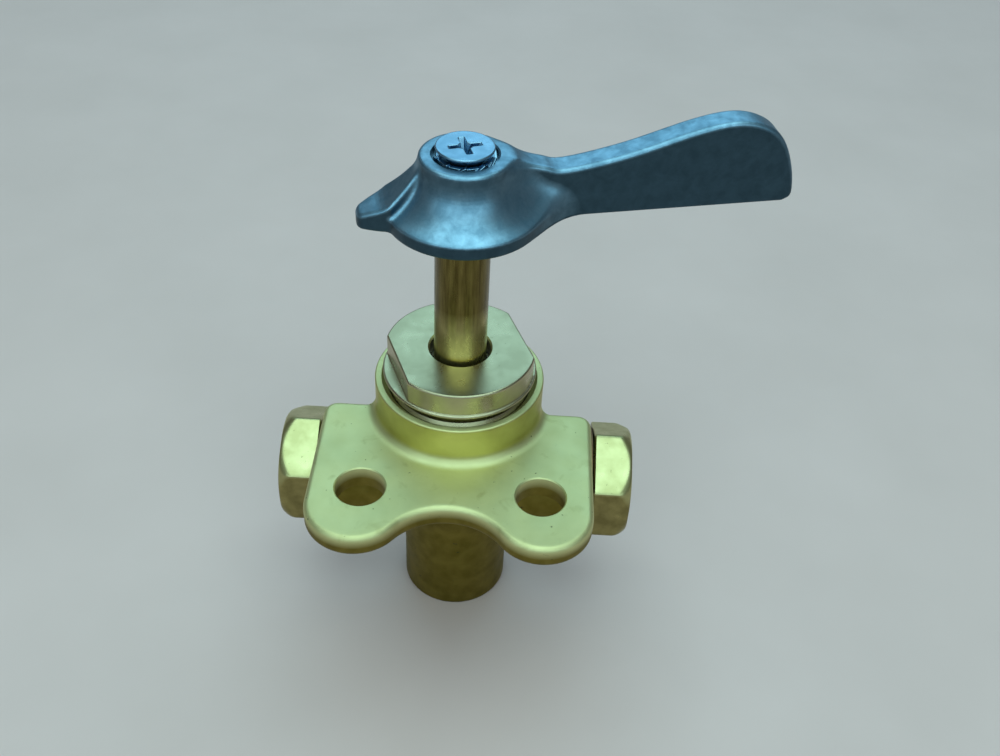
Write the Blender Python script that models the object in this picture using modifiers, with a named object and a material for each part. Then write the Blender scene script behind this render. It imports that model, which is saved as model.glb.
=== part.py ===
"""A three-way selector valve with a rotary gate, modelled as it comes apart on a bench.

A cast brass body has a two-hole mounting flange, two side ports with hexagonal bushings and a bottom port.
A bonnet nut closes the chamber and packs the stem. The stem turns the gate rotor, whose channel joins the
bottom port to the left or the right one, and a cast lever handle with a pointer sits on the stem.

Metres, +Z up. The origin lies on the flange's top face, midway between the two mounting holes. The stem
stands behind it, on the axis of every turned piece, and +X runs to the right along the side ports.
"""

import math

import bmesh
import bpy
from mathutils import Matrix

MM = 0.001

# Clearances
GAP = 0.3 * MM  # between two pieces that touch
STEM_HOLE_CLEARANCE = 0.8 * MM  # round the stem where it leaves the nut
CAVITY_CLEARANCE = 1.0 * MM  # round the stem collar and the packing washers
STOP_SLACK = math.radians(1.2)  # the stop pin's play at each end of its notch
OVERCUT = 1.0 * MM  # how far a cutter runs past the face that it opens

# Facets round the turned pieces
FACETS = 40
SMALL_FACETS = 20
ARC_STEPS = 6
SHARP_ANGLE = math.radians(35)
WELD = 0.002 * MM
AXIS_WELD = 0.01 * MM
FRAME_DISPLAY = 5.0 * MM

# Handle position: the lever's direction, counterclockwise from +X
HANDLE_REST = math.radians(13.4)
HALF_TURN = math.pi

# Flange
FLANGE_THICKNESS = 4.4 * MM
FLANGE_BACK = 0.9 * MM  # its rear edge, in front of the stem axis
FLANGE_WAIST = 26.7 * MM  # its front edge at the middle, in front of the stem axis
FLANGE_ROUND = 1.0 * MM
FLANGE_CORNER = 2.6 * MM
CORNER_STEPS = 4
LOBE_RADIUS = 8.9 * MM
LOBE_SPREAD = 16.2 * MM  # each lobe's centre, left or right of the stem axis
LOBE_SETBACK = 25.8 * MM  # each lobe's centre, in front of the stem axis
HOLE_SPACING = 31.5 * MM
HOLE_SETBACK = 22.6 * MM  # the mounting holes, in front of the stem axis
HOLE_RADIUS = 4.4 * MM

# Body
NECK_RADIUS = 15.6 * MM
NECK_HEIGHT = 7.7 * MM
NECK_CHAMFER = 1.1 * MM
NECK_FILLET = 1.6 * MM
FILLET_STEPS = 5
FILLET_LIFT = 0.02 * MM  # its foot, below the flange's top face
FLOOR_WALL = 3.0 * MM  # how far the barrel goes on below the chamber's floor
BARREL_TAPER = 8.0 * MM
TAPER_BEND = (0.25, 0.7)  # the taper's knee, as shares of its width above the boss and of its height
BOSS_RADIUS = 10.5 * MM
BASE_DEPTH = 47.4 * MM
BASE_CHAMFER = 0.6 * MM
NECK_EDGE = 0.3 * MM
BONNET_SEAT_DEPTH = 1.5 * MM
BOTTOM_SOCKET_RADIUS = 6.2 * MM
BOTTOM_SOCKET_LENGTH = 14.4 * MM
WEB_THICKNESS = 5.0 * MM  # the rib that ties the flange to the port tubes
WEB_INSET = 1.6 * MM  # from the ends of the port tubes

# Side ports
PORT_DEPTH = 17.8 * MM
PORT_TUBE_RADIUS = 10.2 * MM
PORT_TUBE_REACH = 25.2 * MM
PORT_THREAD_RADIUS = 8.4 * MM
PORT_THREAD_START = 13.5 * MM  # the inner end of the threaded bore, from the stem axis
PORT_DRILLING_RADIUS = 2.6 * MM
PORT_DRILLING_START = 5.2 * MM
PORT_WASHER_THICKNESS = 0.7 * MM
HEX_ACROSS_FLATS = 20.3 * MM
HEX_LENGTH = 7.3 * MM
HEX_CHAMFER = 1.6 * MM
HEX_CHAMFER_DEPTH = 2.0 * MM
SIDE_SOCKET_RADIUS = 6.2 * MM
SIDE_SOCKET_LENGTH = 14.0 * MM
BUSHING_BORE_RADIUS = 4.4 * MM
SOCKET_CHAMFER = 0.7 * MM

# Passages in the chamber floor and their seat rings
PASSAGE_RADIUS = 2.0 * MM
PASSAGE_SPREAD = 7.2 * MM  # the side passages, from the stem axis
SEAT_WALL = 1.0 * MM
SEAT_HEIGHT = 1.2 * MM
SEAT_PROUD = 0.1 * MM

# Gate rotor
ROTOR_RADIUS = 11.0 * MM
ROTOR_THICKNESS = 7.0 * MM
ROTOR_SINK = 0.1 * MM  # its top, below the gasket's seat
CHANNEL_HALF_WIDTH = 2.2 * MM
CHANNEL_DEPTH = 3.0 * MM
NOTCH_WIDTH = 1.4 * MM
NOTCH_DEPTH = 3.4 * MM
STOP_PIN_RADIUS = 1.1 * MM
STOP_PIN_BURIED = 0.3 * MM  # its outer end, below the surface of the barrel

# Stack from the rotor up to the bonnet nut
SPRING_WASHER_THICKNESS = 0.8 * MM
SPRING_HEIGHT = 1.5 * MM
SPRING_THICKNESS = 0.5 * MM
SPRING_WAVES = 3
COLLAR_RADIUS = 7.5 * MM
COLLAR_THICKNESS = 2.0 * MM
THRUST_WASHER_THICKNESS = 0.8 * MM
PACKING_THICKNESS = 1.4 * MM
PACKING_NAMES = ("packing_ring_lower", "packing_ring_middle", "packing_ring_upper")
GLAND_WASHER_THICKNESS = 0.8 * MM
GASKET_THICKNESS = 0.8 * MM

# Bonnet nut
NUT_RADIUS = 14.1 * MM
NUT_CAP_RADIUS = 13.7 * MM
NUT_SHANK_RADIUS = 13.0 * MM
NUT_TOP_WALL = 3.0 * MM
NUT_LEDGE_LIFT = 1.3 * MM  # its round ledge, above the neck
NUT_LEDGE = 0.7 * MM
NUT_UNDERCUT = 0.5 * MM
NUT_CHAMFER = 0.4 * MM
NUT_HALF_FLATS = 11.85 * MM
NUT_TURN = math.radians(21.7)  # the direction that one wrench flat faces

# Stem
STEM_RADIUS = 4.76 * MM
STEM_HALF_FLATS = 3.9 * MM
STEM_FLAT_LENGTH = 6.4 * MM
STEM_CHAMFER = 0.4 * MM
TANG_HALF_WIDTH = 2.0 * MM
TANG_LENGTH = 2.6 * MM

# Handle
HANDLE_BOTTOM = 42.0 * MM  # the skirt's lower edge, above the flange
SKIRT_RADIUS = 13.05 * MM
SKIRT_BAND = 2.6 * MM
SKIRT_EDGE = 0.5 * MM
SKIRT_WALL = 2.2 * MM
SKIRT_HOLLOW = 3.6 * MM
HOLLOW_DRAFT = 1.0 * MM
HUB_WALL = 2.2 * MM
SOCKET_RELIEF = 0.15 * MM  # the stem socket below its flats, wider than above
BOSS_TOP_RADIUS = 7.5 * MM
BOSS_EDGE = 0.7 * MM
FLARE_KNOTS = ((0.0, 0.0), (0.07, 0.2), (0.2, 0.42), (0.43, 0.65), (0.72, 0.85), (1.0, 1.0))
SOCKET_HEIGHT = 9.0 * MM  # the stem socket's top, above the skirt's lower edge
CROWN_WALL = 1.55 * MM
RECESS_DEPTH = 1.2 * MM
BLADE_HALF_THICKNESS = 2.45 * MM
BLADE_ROUND = 1.2 * MM
BLADE_REACH = 56.8 * MM
BLADE_CROWN_HEIGHT = 15.4 * MM
BLADE_CROWN_REACH = 44.8 * MM
BLADE_WAIST_HEIGHT = 8.8 * MM
BLADE_WAIST_REACH = 16.5 * MM
BLADE_FILLET = 7.0 * MM
BLADE_STEPS = 4  # points between two knots of its outline
BLADE_BACK_KNOTS = ((0.76, 0.84), (0.35, 0.3))  # the dip of its upper edge, from the crown to the waist
BLADE_END_KNOTS = ((0.1, 0.42), (0.3, 0.74), (0.58, 0.92))  # from its tip up to the crown
BLADE_TIP_KNOT = (0.1 * MM, 0.09)
BLADE_TIP_ROUND = 1.5 * MM
BLADE_ROOT_KNOTS = ((5.0 * MM, 0.3), (1.3 * MM, 0.88), (-1.5 * MM, 0.95))  # up from the waist into the boss
BLADE_ROOT = 1.5 * MM  # how far it runs inside the boss
WING_INSET = 0.12 * MM  # the fillets' plate, inside the skirt's band
WING_START = 150  # where the plate's arc starts, in degrees from the lever
POINTER_REACH = 17.6 * MM
POINTER_HALF_WIDTH = 3.4 * MM
POINTER_TIP_RADIUS = 1.3 * MM
POINTER_TIP_TURN = 115  # where its round tip starts, in degrees from +X
POINTER_HEIGHT = 3.2 * MM
POINTER_ROUND = 0.5 * MM
POINTER_ROOT = 4.0 * MM  # how far its straight sides run into the skirt
POINTER_SHOULDER = 1.0 * MM
RIDGE_HALF_THICKNESS = 1.7 * MM
RIDGE_ROUND = 0.6 * MM
RIDGE_FOOT = 0.6 * MM  # its lower edge, above the skirt's
RIDGE_DROP = 1.6 * MM  # its upper end, below the boss's top
RIDGE_ROOT = 2.0 * MM
RIDGE_STEPS = 3
RIDGE_TIP = ((1.2 * MM, 0.6 * MM), 1.6 * MM)  # the front end's setback and drop, then the foot's setback
RIDGE_KNOTS = ((0.42, 0.18), (0.75, 0.5))  # from the pointer's tip to the boss, as shares of the way

# Handle screw and its lock washer
HEAD_RADIUS = 4.8 * MM
HEAD_PROUD = 1.25 * MM  # its top, above the handle's boss
HEAD_LAND = 0.4 * MM
SCREW_RADIUS = 2.3 * MM
SCREW_LENGTH = 15.0 * MM  # below the cone
CROSS_HALF_LENGTH = 2.7 * MM
CROSS_HALF_WIDTH = 0.45 * MM
CROSS_DEPTH = 1.9 * MM
CROSS_TURN = math.radians(19.0)
LOCK_WASHER_RADIUS = 5.15 * MM
LOCK_WASHER_WALL = 1.3 * MM
LOCK_WASHER_THICKNESS = 0.5 * MM
LOCK_WASHER_TEETH = 10
TOOTH_HEIGHT = 0.6 * MM
TOOTH_SHARE = 0.5  # of the pitch, at its crest
TOOTH_VALLEY = (0.6, 0.9)  # where the gap between two teeth starts and ends, as shares of the pitch
TOOTH_STEPS = 2
RECESS_CLEARANCE = 0.3 * MM

# Levels that follow from the stack, above the flange's top face
BONNET_SEAT_Z = -BONNET_SEAT_DEPTH
ROTOR_TOP_Z = BONNET_SEAT_Z - ROTOR_SINK
ROTOR_BOTTOM_Z = ROTOR_TOP_Z - ROTOR_THICKNESS
SEAT_TOP_Z = ROTOR_BOTTOM_Z - GAP
SEAT_BOTTOM_Z = SEAT_TOP_Z - SEAT_HEIGHT
FLOOR_Z = SEAT_TOP_Z - SEAT_PROUD
BARREL_DEPTH = FLOOR_WALL - FLOOR_Z
SPRING_WASHER_Z = ROTOR_TOP_Z + GAP
SPRING_Z = SPRING_WASHER_Z + SPRING_WASHER_THICKNESS + GAP
COLLAR_Z = SPRING_Z + SPRING_HEIGHT + GAP
THRUST_WASHER_Z = COLLAR_Z + COLLAR_THICKNESS + GAP
PACKING_Z = THRUST_WASHER_Z + THRUST_WASHER_THICKNESS + GAP
PACKING_PITCH = PACKING_THICKNESS + GAP
GLAND_WASHER_Z = PACKING_Z + len(PACKING_NAMES) * PACKING_PITCH
CAVITY_TOP_Z = GLAND_WASHER_Z + GLAND_WASHER_THICKNESS + GAP
NUT_TOP_Z = CAVITY_TOP_Z + NUT_TOP_WALL
NUT_LEDGE_Z = NECK_HEIGHT + NUT_LEDGE_LIFT
GASKET_Z = BONNET_SEAT_Z + GAP
SHANK_END_Z = GASKET_Z + GASKET_THICKNESS + GAP
SOCKET_TOP_Z = HANDLE_BOTTOM + SOCKET_HEIGHT
STEM_TOP_Z = SOCKET_TOP_Z - GAP
RECESS_FLOOR_Z = SOCKET_TOP_Z + CROWN_WALL
BOSS_TOP_Z = RECESS_FLOOR_Z + RECESS_DEPTH
HEAD_TOP_Z = BOSS_TOP_Z + HEAD_PROUD
CONE_END_Z = HEAD_TOP_Z - HEAD_LAND - (HEAD_RADIUS - SCREW_RADIUS)

# Radii that follow from what each piece fits
BONNET_BORE_RADIUS = NUT_SHANK_RADIUS + GAP
CHAMBER_RADIUS = ROTOR_RADIUS + GAP
CAVITY_RADIUS = COLLAR_RADIUS + CAVITY_CLEARANCE
LINER_RADIUS = STEM_RADIUS + GAP  # the bore of every ring round the stem
WASHER_RADIUS = CAVITY_RADIUS - GAP
SEAT_RADIUS = PASSAGE_RADIUS + SEAT_WALL
RECESS_RADIUS = LOCK_WASHER_RADIUS + RECESS_CLEARANCE
SCREW_HOLE_RADIUS = SCREW_RADIUS + GAP
NOTCH_RADIUS = ROTOR_RADIUS - NOTCH_WIDTH
STOP_PIN_TIP = NOTCH_RADIUS + GAP
STOP_PIN_Z = ROTOR_TOP_Z - NOTCH_DEPTH + GAP + STOP_PIN_RADIUS
HUB_RADIUS = LINER_RADIUS + HUB_WALL
HEX_INNER_FACE = PORT_TUBE_REACH + PORT_WASHER_THICKNESS + 2 * GAP
HEX_OUTER_FACE = HEX_INNER_FACE + HEX_LENGTH


# ---------------------------------------------------------------- scene and materials


def clear_scene():
    for old in list(bpy.data.objects):
        bpy.data.objects.remove(old, do_unlink=True)


def new_collection(name):
    collection = bpy.data.collections.new(name)
    bpy.context.scene.collection.children.link(collection)
    return collection


def new_material(name, colour, roughness, metallic):
    material = bpy.data.materials.new(name)
    material.use_nodes = True
    shader = material.node_tree.nodes["Principled BSDF"]
    shader.inputs["Base Color"].default_value = (*colour, 1.0)
    shader.inputs["Roughness"].default_value = roughness
    shader.inputs["Metallic"].default_value = metallic
    return material


def new_frame(name, location, turn=(0.0, 0.0, 0.0)):
    """An empty on an axis, which carries the pieces that belong to it."""
    frame = bpy.data.objects.new(name, None)
    frame.location = location
    frame.rotation_euler = turn
    frame.empty_display_size = FRAME_DISPLAY
    PARTS.objects.link(frame)
    return frame


def place(name, mesh, frame, collection, location=(0.0, 0.0, 0.0), turn=(0.0, 0.0, 0.0)):
    piece = bpy.data.objects.new(name, mesh)
    piece.location = location
    piece.rotation_euler = turn
    piece.parent = frame
    collection.objects.link(piece)
    return piece


def part(name, mesh, frame, material, **where):
    """A sub-part of the valve, with a material of its own."""
    piece = place(name, mesh, frame, PARTS, **where)
    colour, roughness, metallic = material
    piece.data.materials.append(new_material(name, colour, roughness, metallic))
    return piece


def tool(name, mesh, frame, **where):
    """A solid that is joined to a part or cut from it, and is no part itself."""
    piece = place(name, mesh, frame, TOOLS, **where)
    piece.hide_render = True
    piece.display_type = "WIRE"
    return piece


# ---------------------------------------------------------------- basic shapes


def mesh_from(name, fill):
    """A mesh whose bmesh is filled by the given function."""
    mesh = bpy.data.meshes.new(name)
    cage = bmesh.new()
    fill(cage)
    cage.to_mesh(mesh)
    cage.free()
    return mesh


def box(name, low, high):
    size = [b - a for a, b in zip(low, high)]
    middle = [(a + b) / 2 for a, b in zip(low, high)]
    matrix = Matrix.Translation(middle) @ Matrix.Diagonal((*size, 1.0))
    return mesh_from(name, lambda cage: bmesh.ops.create_cube(cage, size=1.0, matrix=matrix))


def cylinder(name, radius, bottom, top, facets=FACETS):
    def fill(cage):
        bmesh.ops.create_cone(
            cage,
            cap_ends=True,
            segments=facets,
            radius1=radius,
            radius2=radius,
            depth=top - bottom,
            matrix=Matrix.Translation((0.0, 0.0, (bottom + top) / 2)),
        )

    mesh = mesh_from(name, fill)
    smooth(mesh)
    return mesh


def smooth(mesh):
    mesh.shade_smooth()
    mesh.set_sharp_from_angle(angle=SHARP_ANGLE)


def turn_profile(piece, facets):
    """Turns the piece's profile about Z, and merges it on the axis."""
    screw = piece.modifiers.new("turning", "SCREW")
    screw.steps = facets
    screw.render_steps = facets
    screw.use_merge_vertices = True
    screw.merge_threshold = AXIS_WELD
    screw.use_smooth_shade = False


def turned(name, profile, facets=FACETS):
    """A turned solid. The profile runs down its outer side, then in along the foot and up the inside."""
    closed = all(radius > 0 for radius, _ in profile)
    edges = [(i, i + 1) for i in range(len(profile) - 1)]
    if closed:
        edges.append((len(profile) - 1, 0))
    line = bpy.data.meshes.new(name)
    line.from_pydata([(radius, 0.0, height) for radius, height in profile], edges, [])
    piece = bpy.data.objects.new(name, line)
    TOOLS.objects.link(piece)
    turn_profile(piece, facets)
    return baked(piece, name)


def ring(name, outer, inner, bottom, thickness, facets=FACETS):
    top = bottom + thickness
    return turned(name, [(outer, top), (outer, bottom), (inner, bottom), (inner, top)], facets)


def baked(piece, name):
    """The evaluated mesh of a piece, welded and faced outward, which replaces the piece."""
    bpy.context.view_layer.update()
    graph = bpy.context.evaluated_depsgraph_get()
    mesh = bpy.data.meshes.new_from_object(piece.evaluated_get(graph))
    mesh.name = name
    bpy.data.objects.remove(piece, do_unlink=True)
    cage = bmesh.new()
    cage.from_mesh(mesh)
    bmesh.ops.remove_doubles(cage, verts=cage.verts, dist=WELD)
    bmesh.ops.recalc_face_normals(cage, faces=cage.faces)
    cage.to_mesh(mesh)
    cage.free()
    smooth(mesh)
    return mesh


def flat_curve(name, outlines, thickness, rounding):
    """Flat outlines that bound one face, with a thickness and rounded edges."""
    curve = bpy.data.curves.new(name, "CURVE")
    curve.dimensions = "2D"
    curve.fill_mode = "BOTH"
    curve.extrude = thickness / 2 - rounding
    curve.bevel_depth = rounding
    curve.bevel_resolution = 1
    curve.offset = -rounding
    for outline in outlines:
        spline = curve.splines.new("POLY")
        spline.points.add(len(outline) - 1)
        for knot, (x, y) in zip(spline.points, outline):
            knot.co = (x, y, 0.0, 1.0)
        spline.use_cyclic_u = True
    piece = bpy.data.objects.new(name, curve)
    TOOLS.objects.link(piece)
    return piece


def plate(name, outlines, bottom, top, rounding=0.0):
    """A flat plate that lies in XY."""
    piece = flat_curve(name, outlines, top - bottom, rounding)
    mesh = baked(piece, name)
    mesh.transform(Matrix.Translation((0.0, 0.0, (bottom + top) / 2)))
    return mesh


def fin(name, outline, half_thickness, rounding):
    """A flat plate that stands in XZ, its outline given as reach and height."""
    piece = flat_curve(name, [outline], 2 * half_thickness, rounding)
    mesh = baked(piece, name)
    mesh.transform(Matrix.Rotation(math.pi / 2, 4, "X"))
    return mesh


def arc(centre, radius, start, end, steps=ARC_STEPS):
    """Points on an arc, its angles in degrees."""
    angles = [math.radians(start + (end - start) * i / steps) for i in range(steps + 1)]
    return [(centre[0] + radius * math.cos(a), centre[1] + radius * math.sin(a)) for a in angles]


def smooth_path(knots, steps):
    """Points on a Catmull-Rom curve through the knots, from the first to the last."""
    ends = [knots[0]] + list(knots) + [knots[-1]]
    path = []
    for before, start, end, after in zip(ends, ends[1:], ends[2:], ends[3:]):
        for step in range(steps):
            t = step / steps
            weights = (
                (-t + 2 * t**2 - t**3) / 2,
                (2 - 5 * t**2 + 3 * t**3) / 2,
                (t + 4 * t**2 - 3 * t**3) / 2,
                (-(t**2) + t**3) / 2,
            )
            corners = (before, start, end, after)
            path.append(tuple(sum(w * c[axis] for w, c in zip(weights, corners)) for axis in (0, 1)))
    return path + [knots[-1]]


def mirrored(half):
    """An outline's right half from back to front, followed by its left half from front to back."""
    return half + [(-x, y) for x, y in reversed(half) if x > 0]


def circle(radius, steps=FACETS, centre=(0.0, 0.0)):
    return arc(centre, radius, 0.0, 360.0, steps)[:-1]


def combine(piece, operation, *others):
    for other in others:
        boolean = piece.modifiers.new(other.name, "BOOLEAN")
        boolean.operation = operation
        boolean.solver = "EXACT"
        boolean.object = other


# ---------------------------------------------------------------- body


def flange_outline():
    """The right half: rear edge, side, round lobe, then the concave waist that is tangent to both lobes."""
    lobe = (LOBE_SPREAD, -LOBE_SETBACK)
    side = LOBE_SPREAD + LOBE_RADIUS
    drop = FLANGE_WAIST - LOBE_SETBACK
    waist = (LOBE_SPREAD**2 + drop**2 - LOBE_RADIUS**2) / (2 * (LOBE_RADIUS - drop))
    waist_centre = (0.0, -FLANGE_WAIST - waist)
    tangent = math.degrees(math.atan2(waist_centre[1] - lobe[1], -lobe[0])) % 360
    corner = (side - FLANGE_CORNER, -FLANGE_BACK - FLANGE_CORNER)
    half = arc(corner, FLANGE_CORNER, 90, 0, CORNER_STEPS)
    half += arc(lobe, LOBE_RADIUS, 360, tangent, 2 * ARC_STEPS)
    half += arc(waist_centre, waist, tangent - 180, 90, ARC_STEPS)[1:-1]
    half.append((0.0, -FLANGE_WAIST))
    return mirrored(half)


def flange(frame):
    """The flange and the fillet round the neck, cut off straight at the rear."""
    plate_mesh = plate("flange", [flange_outline()], -FLANGE_THICKNESS, 0.0, FLANGE_ROUND)
    piece = tool("flange", plate_mesh, frame)
    centre = (NECK_RADIUS + NECK_FILLET, NECK_FILLET - FILLET_LIFT)
    curve = arc(centre, NECK_FILLET, 180, 270, FILLET_STEPS)
    foot = -FLANGE_THICKNESS / 2
    inner = NECK_RADIUS - NECK_FILLET
    profile = curve + [(centre[0], foot), (inner, foot), (inner, curve[0][1])]
    fillet = tool("neck_fillet", turned("neck_fillet", profile), frame)
    reach = 2 * NECK_RADIUS
    back = tool("fillet_back", box("fillet_back", (-reach, -FLANGE_BACK, -reach), (reach, reach, reach)), frame)
    combine(piece, "UNION", fillet)
    combine(piece, "DIFFERENCE", back)
    return piece


def barrel_mesh():
    """Neck, barrel, taper and bottom boss, as one turned bar."""
    wide, low = TAPER_BEND
    return turned(
        "valve_body",
        [
            (0.0, NECK_HEIGHT),
            (NECK_RADIUS - NECK_EDGE, NECK_HEIGHT),
            (NECK_RADIUS, NECK_HEIGHT - NECK_EDGE),
            (NECK_RADIUS, -BARREL_DEPTH),
            (BOSS_RADIUS + (NECK_RADIUS - BOSS_RADIUS) * wide, -BARREL_DEPTH - BARREL_TAPER * low),
            (BOSS_RADIUS, -BARREL_DEPTH - BARREL_TAPER),
            (BOSS_RADIUS, -BASE_DEPTH + BASE_CHAMFER),
            (BOSS_RADIUS - BASE_CHAMFER, -BASE_DEPTH),
            (0.0, -BASE_DEPTH),
        ],
    )


def chamber_cutter(frame):
    """Bonnet bore, gasket seat, rotor chamber, centre passage and bottom socket, in one turned tool."""
    chamfer_z = NECK_HEIGHT - NECK_CHAMFER
    seat_z = SEAT_BOTTOM_Z - GAP
    socket_top = -BASE_DEPTH + BOTTOM_SOCKET_LENGTH
    profile = [
        (0.0, NECK_HEIGHT + OVERCUT),
        (BONNET_BORE_RADIUS + NECK_CHAMFER + OVERCUT, NECK_HEIGHT + OVERCUT),
        (BONNET_BORE_RADIUS, chamfer_z),
        (BONNET_BORE_RADIUS, BONNET_SEAT_Z),
        (CHAMBER_RADIUS, BONNET_SEAT_Z),
        (CHAMBER_RADIUS, FLOOR_Z),
        (SEAT_RADIUS + GAP, FLOOR_Z),
        (SEAT_RADIUS + GAP, seat_z),
        (PASSAGE_RADIUS, seat_z),
        (PASSAGE_RADIUS, socket_top + PASSAGE_RADIUS),
        (BOTTOM_SOCKET_RADIUS, socket_top),
        (BOTTOM_SOCKET_RADIUS, -BASE_DEPTH + SOCKET_CHAMFER),
        (BOTTOM_SOCKET_RADIUS + SOCKET_CHAMFER + OVERCUT, -BASE_DEPTH - OVERCUT),
        (0.0, -BASE_DEPTH - OVERCUT),
    ]
    return tool("chamber", turned("chamber", profile), frame)


def side_passage_cutters(frame, side, label):
    """The seat's counterbore and the drilling down to the port, then the port's drilling and threaded bore."""
    seat_z = SEAT_BOTTOM_Z - GAP
    down = turned(
        label + "_passage",
        [
            (0.0, FLOOR_Z + OVERCUT),
            (SEAT_RADIUS + GAP, FLOOR_Z + OVERCUT),
            (SEAT_RADIUS + GAP, seat_z),
            (PASSAGE_RADIUS, seat_z),
            (PASSAGE_RADIUS, -PORT_DEPTH),
            (0.0, -PORT_DEPTH),
        ],
        SMALL_FACETS,
    )
    across = turned(
        label + "_drilling",
        [
            (0.0, PORT_TUBE_REACH + OVERCUT),
            (PORT_THREAD_RADIUS + GAP, PORT_TUBE_REACH + OVERCUT),
            (PORT_THREAD_RADIUS + GAP, PORT_THREAD_START),
            (PORT_DRILLING_RADIUS, PORT_THREAD_START),
            (PORT_DRILLING_RADIUS, PORT_DRILLING_START),
            (0.0, PORT_DRILLING_START),
        ],
    )
    return [
        tool(label + "_passage", down, frame, location=(side * PASSAGE_SPREAD, 0.0, 0.0)),
        tool(label + "_drilling", across, PORT_FRAMES[label]),
    ]


def mounting_hole_cutters(frame):
    cutters = []
    for side in (-1, 1):
        name = "mounting_hole_left" if side < 0 else "mounting_hole_right"
        mesh = cylinder(name, HOLE_RADIUS, -FLANGE_THICKNESS - OVERCUT, OVERCUT, 2 * SMALL_FACETS)
        cutters.append(tool(name, mesh, frame, location=(side * HOLE_SPACING / 2, -HOLE_SETBACK, 0.0)))
    return cutters


def valve_body(frame):
    body = part("valve_body", barrel_mesh(), frame, CAST_BRASS)
    tube = tool(
        "port_tube",
        cylinder("port_tube", PORT_TUBE_RADIUS, -PORT_TUBE_REACH, PORT_TUBE_REACH),
        frame,
        location=(0.0, 0.0, -PORT_DEPTH),
        turn=(0.0, math.pi / 2, 0.0),
    )
    web_reach = PORT_TUBE_REACH - WEB_INSET
    web_front = -FLANGE_BACK - FLANGE_ROUND - WEB_THICKNESS
    web_low = (-web_reach, web_front, -PORT_DEPTH)
    web_high = (web_reach, -FLANGE_BACK - FLANGE_ROUND, -FLANGE_THICKNESS / 2)
    web = tool("flange_web", box("flange_web", web_low, web_high), frame)
    combine(body, "UNION", flange(frame), tube, web)
    combine(body, "DIFFERENCE", chamber_cutter(frame))
    for label, side in SIDES.items():
        combine(body, "DIFFERENCE", *side_passage_cutters(frame, side, label))
    combine(body, "DIFFERENCE", *mounting_hole_cutters(frame))
    hole = cylinder("stop_pin_hole", STOP_PIN_RADIUS + GAP, NOTCH_RADIUS, NECK_RADIUS + OVERCUT, SMALL_FACETS)
    combine(body, "DIFFERENCE", tool("stop_pin_hole", hole, STOP_FRAME))


def stop_pin():
    """Pressed in from the rear, with its tip in the rotor's notch."""
    mesh = cylinder("stop_pin", STOP_PIN_RADIUS, STOP_PIN_TIP, NECK_RADIUS - STOP_PIN_BURIED, SMALL_FACETS)
    part("stop_pin", mesh, STOP_FRAME, STEEL)


def seat_rings(frame):
    for label, x in (("left", -PASSAGE_SPREAD), ("centre", 0.0), ("right", PASSAGE_SPREAD)):
        name = label + "_seat_ring"
        mesh = ring(name, SEAT_RADIUS, PASSAGE_RADIUS, SEAT_BOTTOM_Z, SEAT_HEIGHT, SMALL_FACETS)
        part(name, mesh, frame, SEAT_POLYMER, location=(x, 0.0, 0.0))


# ---------------------------------------------------------------- side ports


def port_bushing(label):
    """A hexagon with a turned chamfer on a threaded shank, bored through and socketed at its outer end."""
    name = label + "_port_bushing"
    frame = PORT_FRAMES[label]
    shank_end = PORT_THREAD_START + GAP
    shank = cylinder(name, PORT_THREAD_RADIUS, shank_end, HEX_INNER_FACE + HEX_LENGTH / 2)
    bushing = part(name, shank, frame, MACHINED_BRASS)
    corner_radius = HEX_ACROSS_FLATS / math.sqrt(3)
    hexagon = plate(name + "_hexagon", [circle(corner_radius, 6)], HEX_INNER_FACE, HEX_OUTER_FACE + OVERCUT)
    head = tool(name + "_hexagon", hexagon, frame)
    chamfered = [
        (0.0, HEX_OUTER_FACE),
        (corner_radius - HEX_CHAMFER, HEX_OUTER_FACE),
        (corner_radius, HEX_OUTER_FACE - HEX_CHAMFER_DEPTH),
        (corner_radius + OVERCUT, HEX_OUTER_FACE - HEX_CHAMFER_DEPTH),
        (corner_radius + OVERCUT, HEX_INNER_FACE - OVERCUT),
        (0.0, HEX_INNER_FACE - OVERCUT),
    ]
    envelope = tool(name + "_envelope", turned(name + "_envelope", chamfered), frame)
    combine(head, "INTERSECT", envelope)
    socket_end = HEX_OUTER_FACE - SIDE_SOCKET_LENGTH
    bore = [
        (0.0, HEX_OUTER_FACE + OVERCUT),
        (SIDE_SOCKET_RADIUS + SOCKET_CHAMFER + OVERCUT, HEX_OUTER_FACE + OVERCUT),
        (SIDE_SOCKET_RADIUS, HEX_OUTER_FACE - SOCKET_CHAMFER),
        (SIDE_SOCKET_RADIUS, socket_end),
        (BUSHING_BORE_RADIUS, socket_end - (SIDE_SOCKET_RADIUS - BUSHING_BORE_RADIUS)),
        (BUSHING_BORE_RADIUS, shank_end - OVERCUT),
        (0.0, shank_end - OVERCUT),
    ]
    combine(bushing, "UNION", head)
    combine(bushing, "DIFFERENCE", tool(name + "_bore", turned(name + "_bore", bore), frame))


def port_washer(label):
    name = label + "_port_washer"
    bottom = PORT_TUBE_REACH + GAP
    mesh = ring(name, PORT_TUBE_RADIUS, PORT_THREAD_RADIUS + GAP, bottom, PORT_WASHER_THICKNESS)
    part(name, mesh, PORT_FRAMES[label], COPPER)


# ---------------------------------------------------------------- bonnet and packing


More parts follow.
